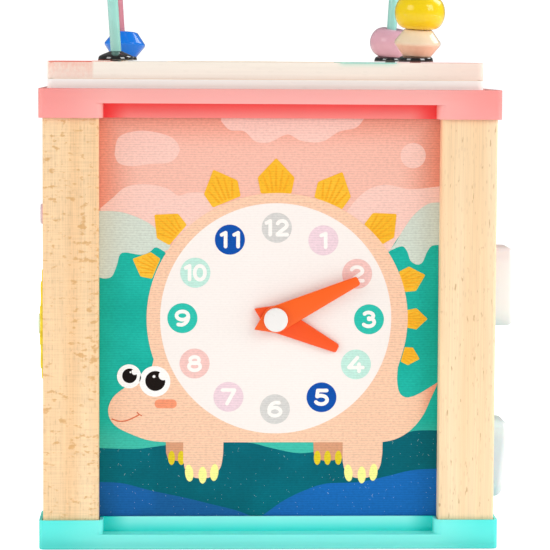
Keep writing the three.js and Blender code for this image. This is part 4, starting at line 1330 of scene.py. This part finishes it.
def maze():
    mint = coated_wire("mint_coating", "a6e6da", "e4fbf6")
    pink = coated_wire("pink_coating", "de8c9e", "f4c3cc")
    wire("maze_wire_wave", mint, angle=45, shoulder=(92, 15), halfway=(46, 26))
    wire("maze_wire_arch", pink, angle=135, shoulder=(82, 34), halfway=(108, 60))
    black = plastic("black_plastic", "060707", 0.1, specular=0.5, coat=1.0)
    for corner, (x, y) in CORNERS.items():
        wire_foot(corner, x, y, black)
    leg_rise = math.sqrt(2)
    level = (0.05, -0.127, leg_rise)
    bead("blue", edged_profile(3.9), (0.08, 0.127, leg_rise), "0080f4", aside=1.7, lower=1.7)
    bead("peach", edged_profile(), level, "ffe6c6", aside=0.4, lower=1.1, width=1.03)
    bead("yellow", round_profile(flat=4.7), level, "ffd80c", aside=0.4, lower=1.2, width=1.03)
    bead("mauve", round_profile(3.3, 3.6), (0.18, -0.2, leg_rise), "ebb5c5", aside=0.3, lower=1.4)
    bead("green", round_profile(), (1, 1, 0), "7fcf9f")


STRIP_TURN = Matrix(((1, 0, 0, 0), (0, 0, -1, 0), (0, 1, 0, 0), (0, 0, 0, 1)))  # (x, z, -y) to (x, y, z)


def lid_print():
    """The picture on the lid, whose ink shows as thin lines on the front edge."""
    margin = 0.3
    top, front = LID_HIGH.z, -LID_LOW.y
    left, right = LID_LOW.x + margin, LID_HIGH.x - margin
    near = LID_LOW.y + margin
    coral = curve([(-61.7, near + 2), (-52, -50), (-56, -30), (left, -12)])
    teal = curve([(22, -73), (28, -68), (37, -68), (43.5, near)])
    pink = curve([(right, -8), (58, -24), (38, -34), (30, -52), (38, -65), (44.5, near)])
    for name, colour, outlines in (
        ("coral", "ef7b66", [[(left, near + 2), (left + 2, near), (-61.7, near), *coral]]),
        ("teal", "46bfae", [[(24, near), *teal]]),
        ("pink", "f6b3aa", [[(44.5, near), (right - 2, near), (right, near + 2), *pink[:-1]]]),
        ("cream", "fbe3c4", [circle(-1.6, 0, 34), circle(-1.6, 62, 9), circle(-58, 46, 7)]),
    ):
        bm = prisms(outlines, top - 0.2, top + 0.12)
        piece(f"lid_print_{name}", bm, ink(f"lid_ink_{name}", colour), smooth=30)
    for name, start, end, colour in (("red", -76.5, -61.7, "dd7467"), ("teal", 24, 43.5, "8fd8c9")):
        strip = [(start, top - 0.22), (end, top - 0.22), (end, top + 0.1), (start, top + 0.1)]
        bm = prisms([strip], front - 0.2, front + 0.06)
        bm.transform(STRIP_TURN)
        piece(f"lid_edge_{name}", bm, ink(f"lid_edge_ink_{name}", colour))


# ---- stage, lights, camera

def seen_by_camera(tree, seen, other, target):
    """Gives the camera one shader and every other ray another."""
    path = tree.nodes.new("ShaderNodeLightPath")
    choose = tree.nodes.new("ShaderNodeMixShader")
    tree.links.new(path.outputs["Is Camera Ray"], choose.inputs[0])
    tree.links.new(other.outputs[0], choose.inputs[1])
    tree.links.new(seen.outputs[0], choose.inputs[2])
    tree.links.new(choose.outputs[0], target)


def stage():
    """A white table, lit until it is as white as the air round it but for contact shadows."""
    surface = Surface("studio_floor")
    speckle = surface.noise(surface.place, scale=60, detail=2)
    surface.set(Base_Color=surface.mix(speckle, rgb("f4f4f3"), rgb("fafafa")), Roughness=0.8)
    surface.set(Specular_IOR_Level=0.0, Emission_Color=rgb("ffffff"), Emission_Strength=0.66)
    dim = surface.add("BsdfDiffuse", Color=(0.8, 0.8, 0.8, 1))
    seen_by_camera(surface.tree, surface.shader, dim, surface.tree.nodes["Material Output"].inputs[0])
    reach = 6.0
    corners = [(-reach, -reach, 0), (reach, -reach, 0), (reach, reach, 0), (-reach, reach, 0)]
    mesh = bpy.data.meshes.new("studio_floor")
    mesh.from_pydata(corners, [], [(0, 1, 2, 3)])
    mesh.materials.append(surface.material)
    floor = bpy.data.objects.new("studio_floor", mesh)
    floor.location.z = -0.0002
    bpy.context.scene.collection.objects.link(floor)


def area_light(name, place, target, size, power, tint=(1, 1, 1), mirrored=True):
    """A rectangular light aimed at a point. One that is not mirrored leaves no highlight."""
    light = bpy.data.lights.new(name, "AREA")
    light.shape = "RECTANGLE"
    light.size, light.size_y = size
    light.energy = power
    light.color = tint
    obj = bpy.data.objects.new(name, light)
    obj.location = place
    obj.rotation_euler = (Vector(target) - Vector(place)).to_track_quat("-Z", "Y").to_euler()
    obj.visible_camera = False
    obj.visible_glossy = mirrored
    bpy.context.scene.collection.objects.link(obj)


AMBIENT = 0.51  # strength of the surround
MIRRORED_AMBIENT = 0.15  # and as glossy surfaces mirror it
BACKDROP = 1.1  # and as the camera sees it
AIM = Vector((0, 0, 0.1))
DISTANCE = 1.35
SOFTBOXES = (  # name, degrees to the right of the front, degrees up, watts, whether it is mirrored
    ("left softbox", -50, 27, 2.9, True),
    ("right softbox", 46, 27, 4.0, True),
    ("far left softbox", -80, 7, 4.6, False),
    ("far right softbox", 80, 7, 5.6, False),
)


def surround():
    """An even white studio, dimmer in reflections."""
    world = bpy.data.worlds.new("studio")
    world.use_nodes = True
    tree = world.node_tree
    even = tree.nodes["Background"]
    path = tree.nodes.new("ShaderNodeLightPath")
    strength = tree.nodes.new("ShaderNodeMath")
    strength.operation = "MULTIPLY_ADD"
    tree.links.new(path.outputs["Is Glossy Ray"], strength.inputs[0])
    strength.inputs[1].default_value = MIRRORED_AMBIENT - AMBIENT
    strength.inputs[2].default_value = AMBIENT
    tree.links.new(strength.outputs[0], even.inputs["Strength"])
    backdrop = tree.nodes.new("ShaderNodeBackground")
    backdrop.inputs["Strength"].default_value = BACKDROP
    for background in (even, backdrop):
        background.inputs["Color"].default_value = (1, 1, 1, 1)
    seen_by_camera(tree, backdrop, even, tree.nodes["World Output"].inputs[0])
    bpy.context.scene.world = world


def lights():
    """Two softboxes in front, one beyond each side of the cube, two behind it, and light thrown
    back by the table at the cube's foot."""
    for name, turn, rise, power, mirrored in SOFTBOXES:
        a, b = math.radians(turn), math.radians(rise)
        away = Vector((math.sin(a) * math.cos(b), -math.cos(a) * math.cos(b), math.sin(b)))
        area_light(name, AIM + away * DISTANCE, AIM, (0.6, 0.6), power, mirrored=mirrored)
    area_light("back right softbox", (0.95, 0.5, 0.95), AIM, (0.7, 0.6), 5.0)
    area_light("back left softbox", (-0.6, 1.1, 0.6), AIM, (0.7, 0.6), 4.0, mirrored=False)
    foot, cool = Vector((0, -0.235, 0.002)), (0.93, 0.97, 1)
    area_light("table bounce", foot, foot + Vector((0, 0, 1)), (0.8, 0.3), 0.44, cool, mirrored=False)


CAMERA_PLACE = Vector((-35.76, -983.83, 170.48))
CAMERA_TURN = (-2.366, -4.712, 0.304)  # degrees to the left, upwards and of roll
FOCAL_LENGTH = 171.87


def camera():
    """The photograph's view: slightly left of centre and level with the lid."""
    lens = bpy.data.cameras.new("camera")
    lens.lens = FOCAL_LENGTH
    lens.sensor_width = 36
    lens.clip_start = 0.01
    obj = bpy.data.objects.new("camera", lens)
    yaw, pitch, roll = (math.radians(a) for a in CAMERA_TURN)
    turns = ((yaw, "Z"), (math.pi / 2 + pitch, "X"), (roll, "Z"))
    aim = Matrix.Identity(4)
    for angle, axis in turns:
        aim = aim @ Matrix.Rotation(angle, 4, axis)
    obj.matrix_world = Matrix.Translation(CAMERA_PLACE * MM) @ aim
    bpy.context.scene.collection.objects.link(obj)
    bpy.context.scene.camera = obj
    bpy.context.scene.view_settings.view_transform = "Standard"


# ---- assembly

box_frames()
box_posts()
lid_boards()
screws()
clock()
gear_side()
track_side()
block_side()
maze()
lid_print()
stage()
surround()
lights()
camera()
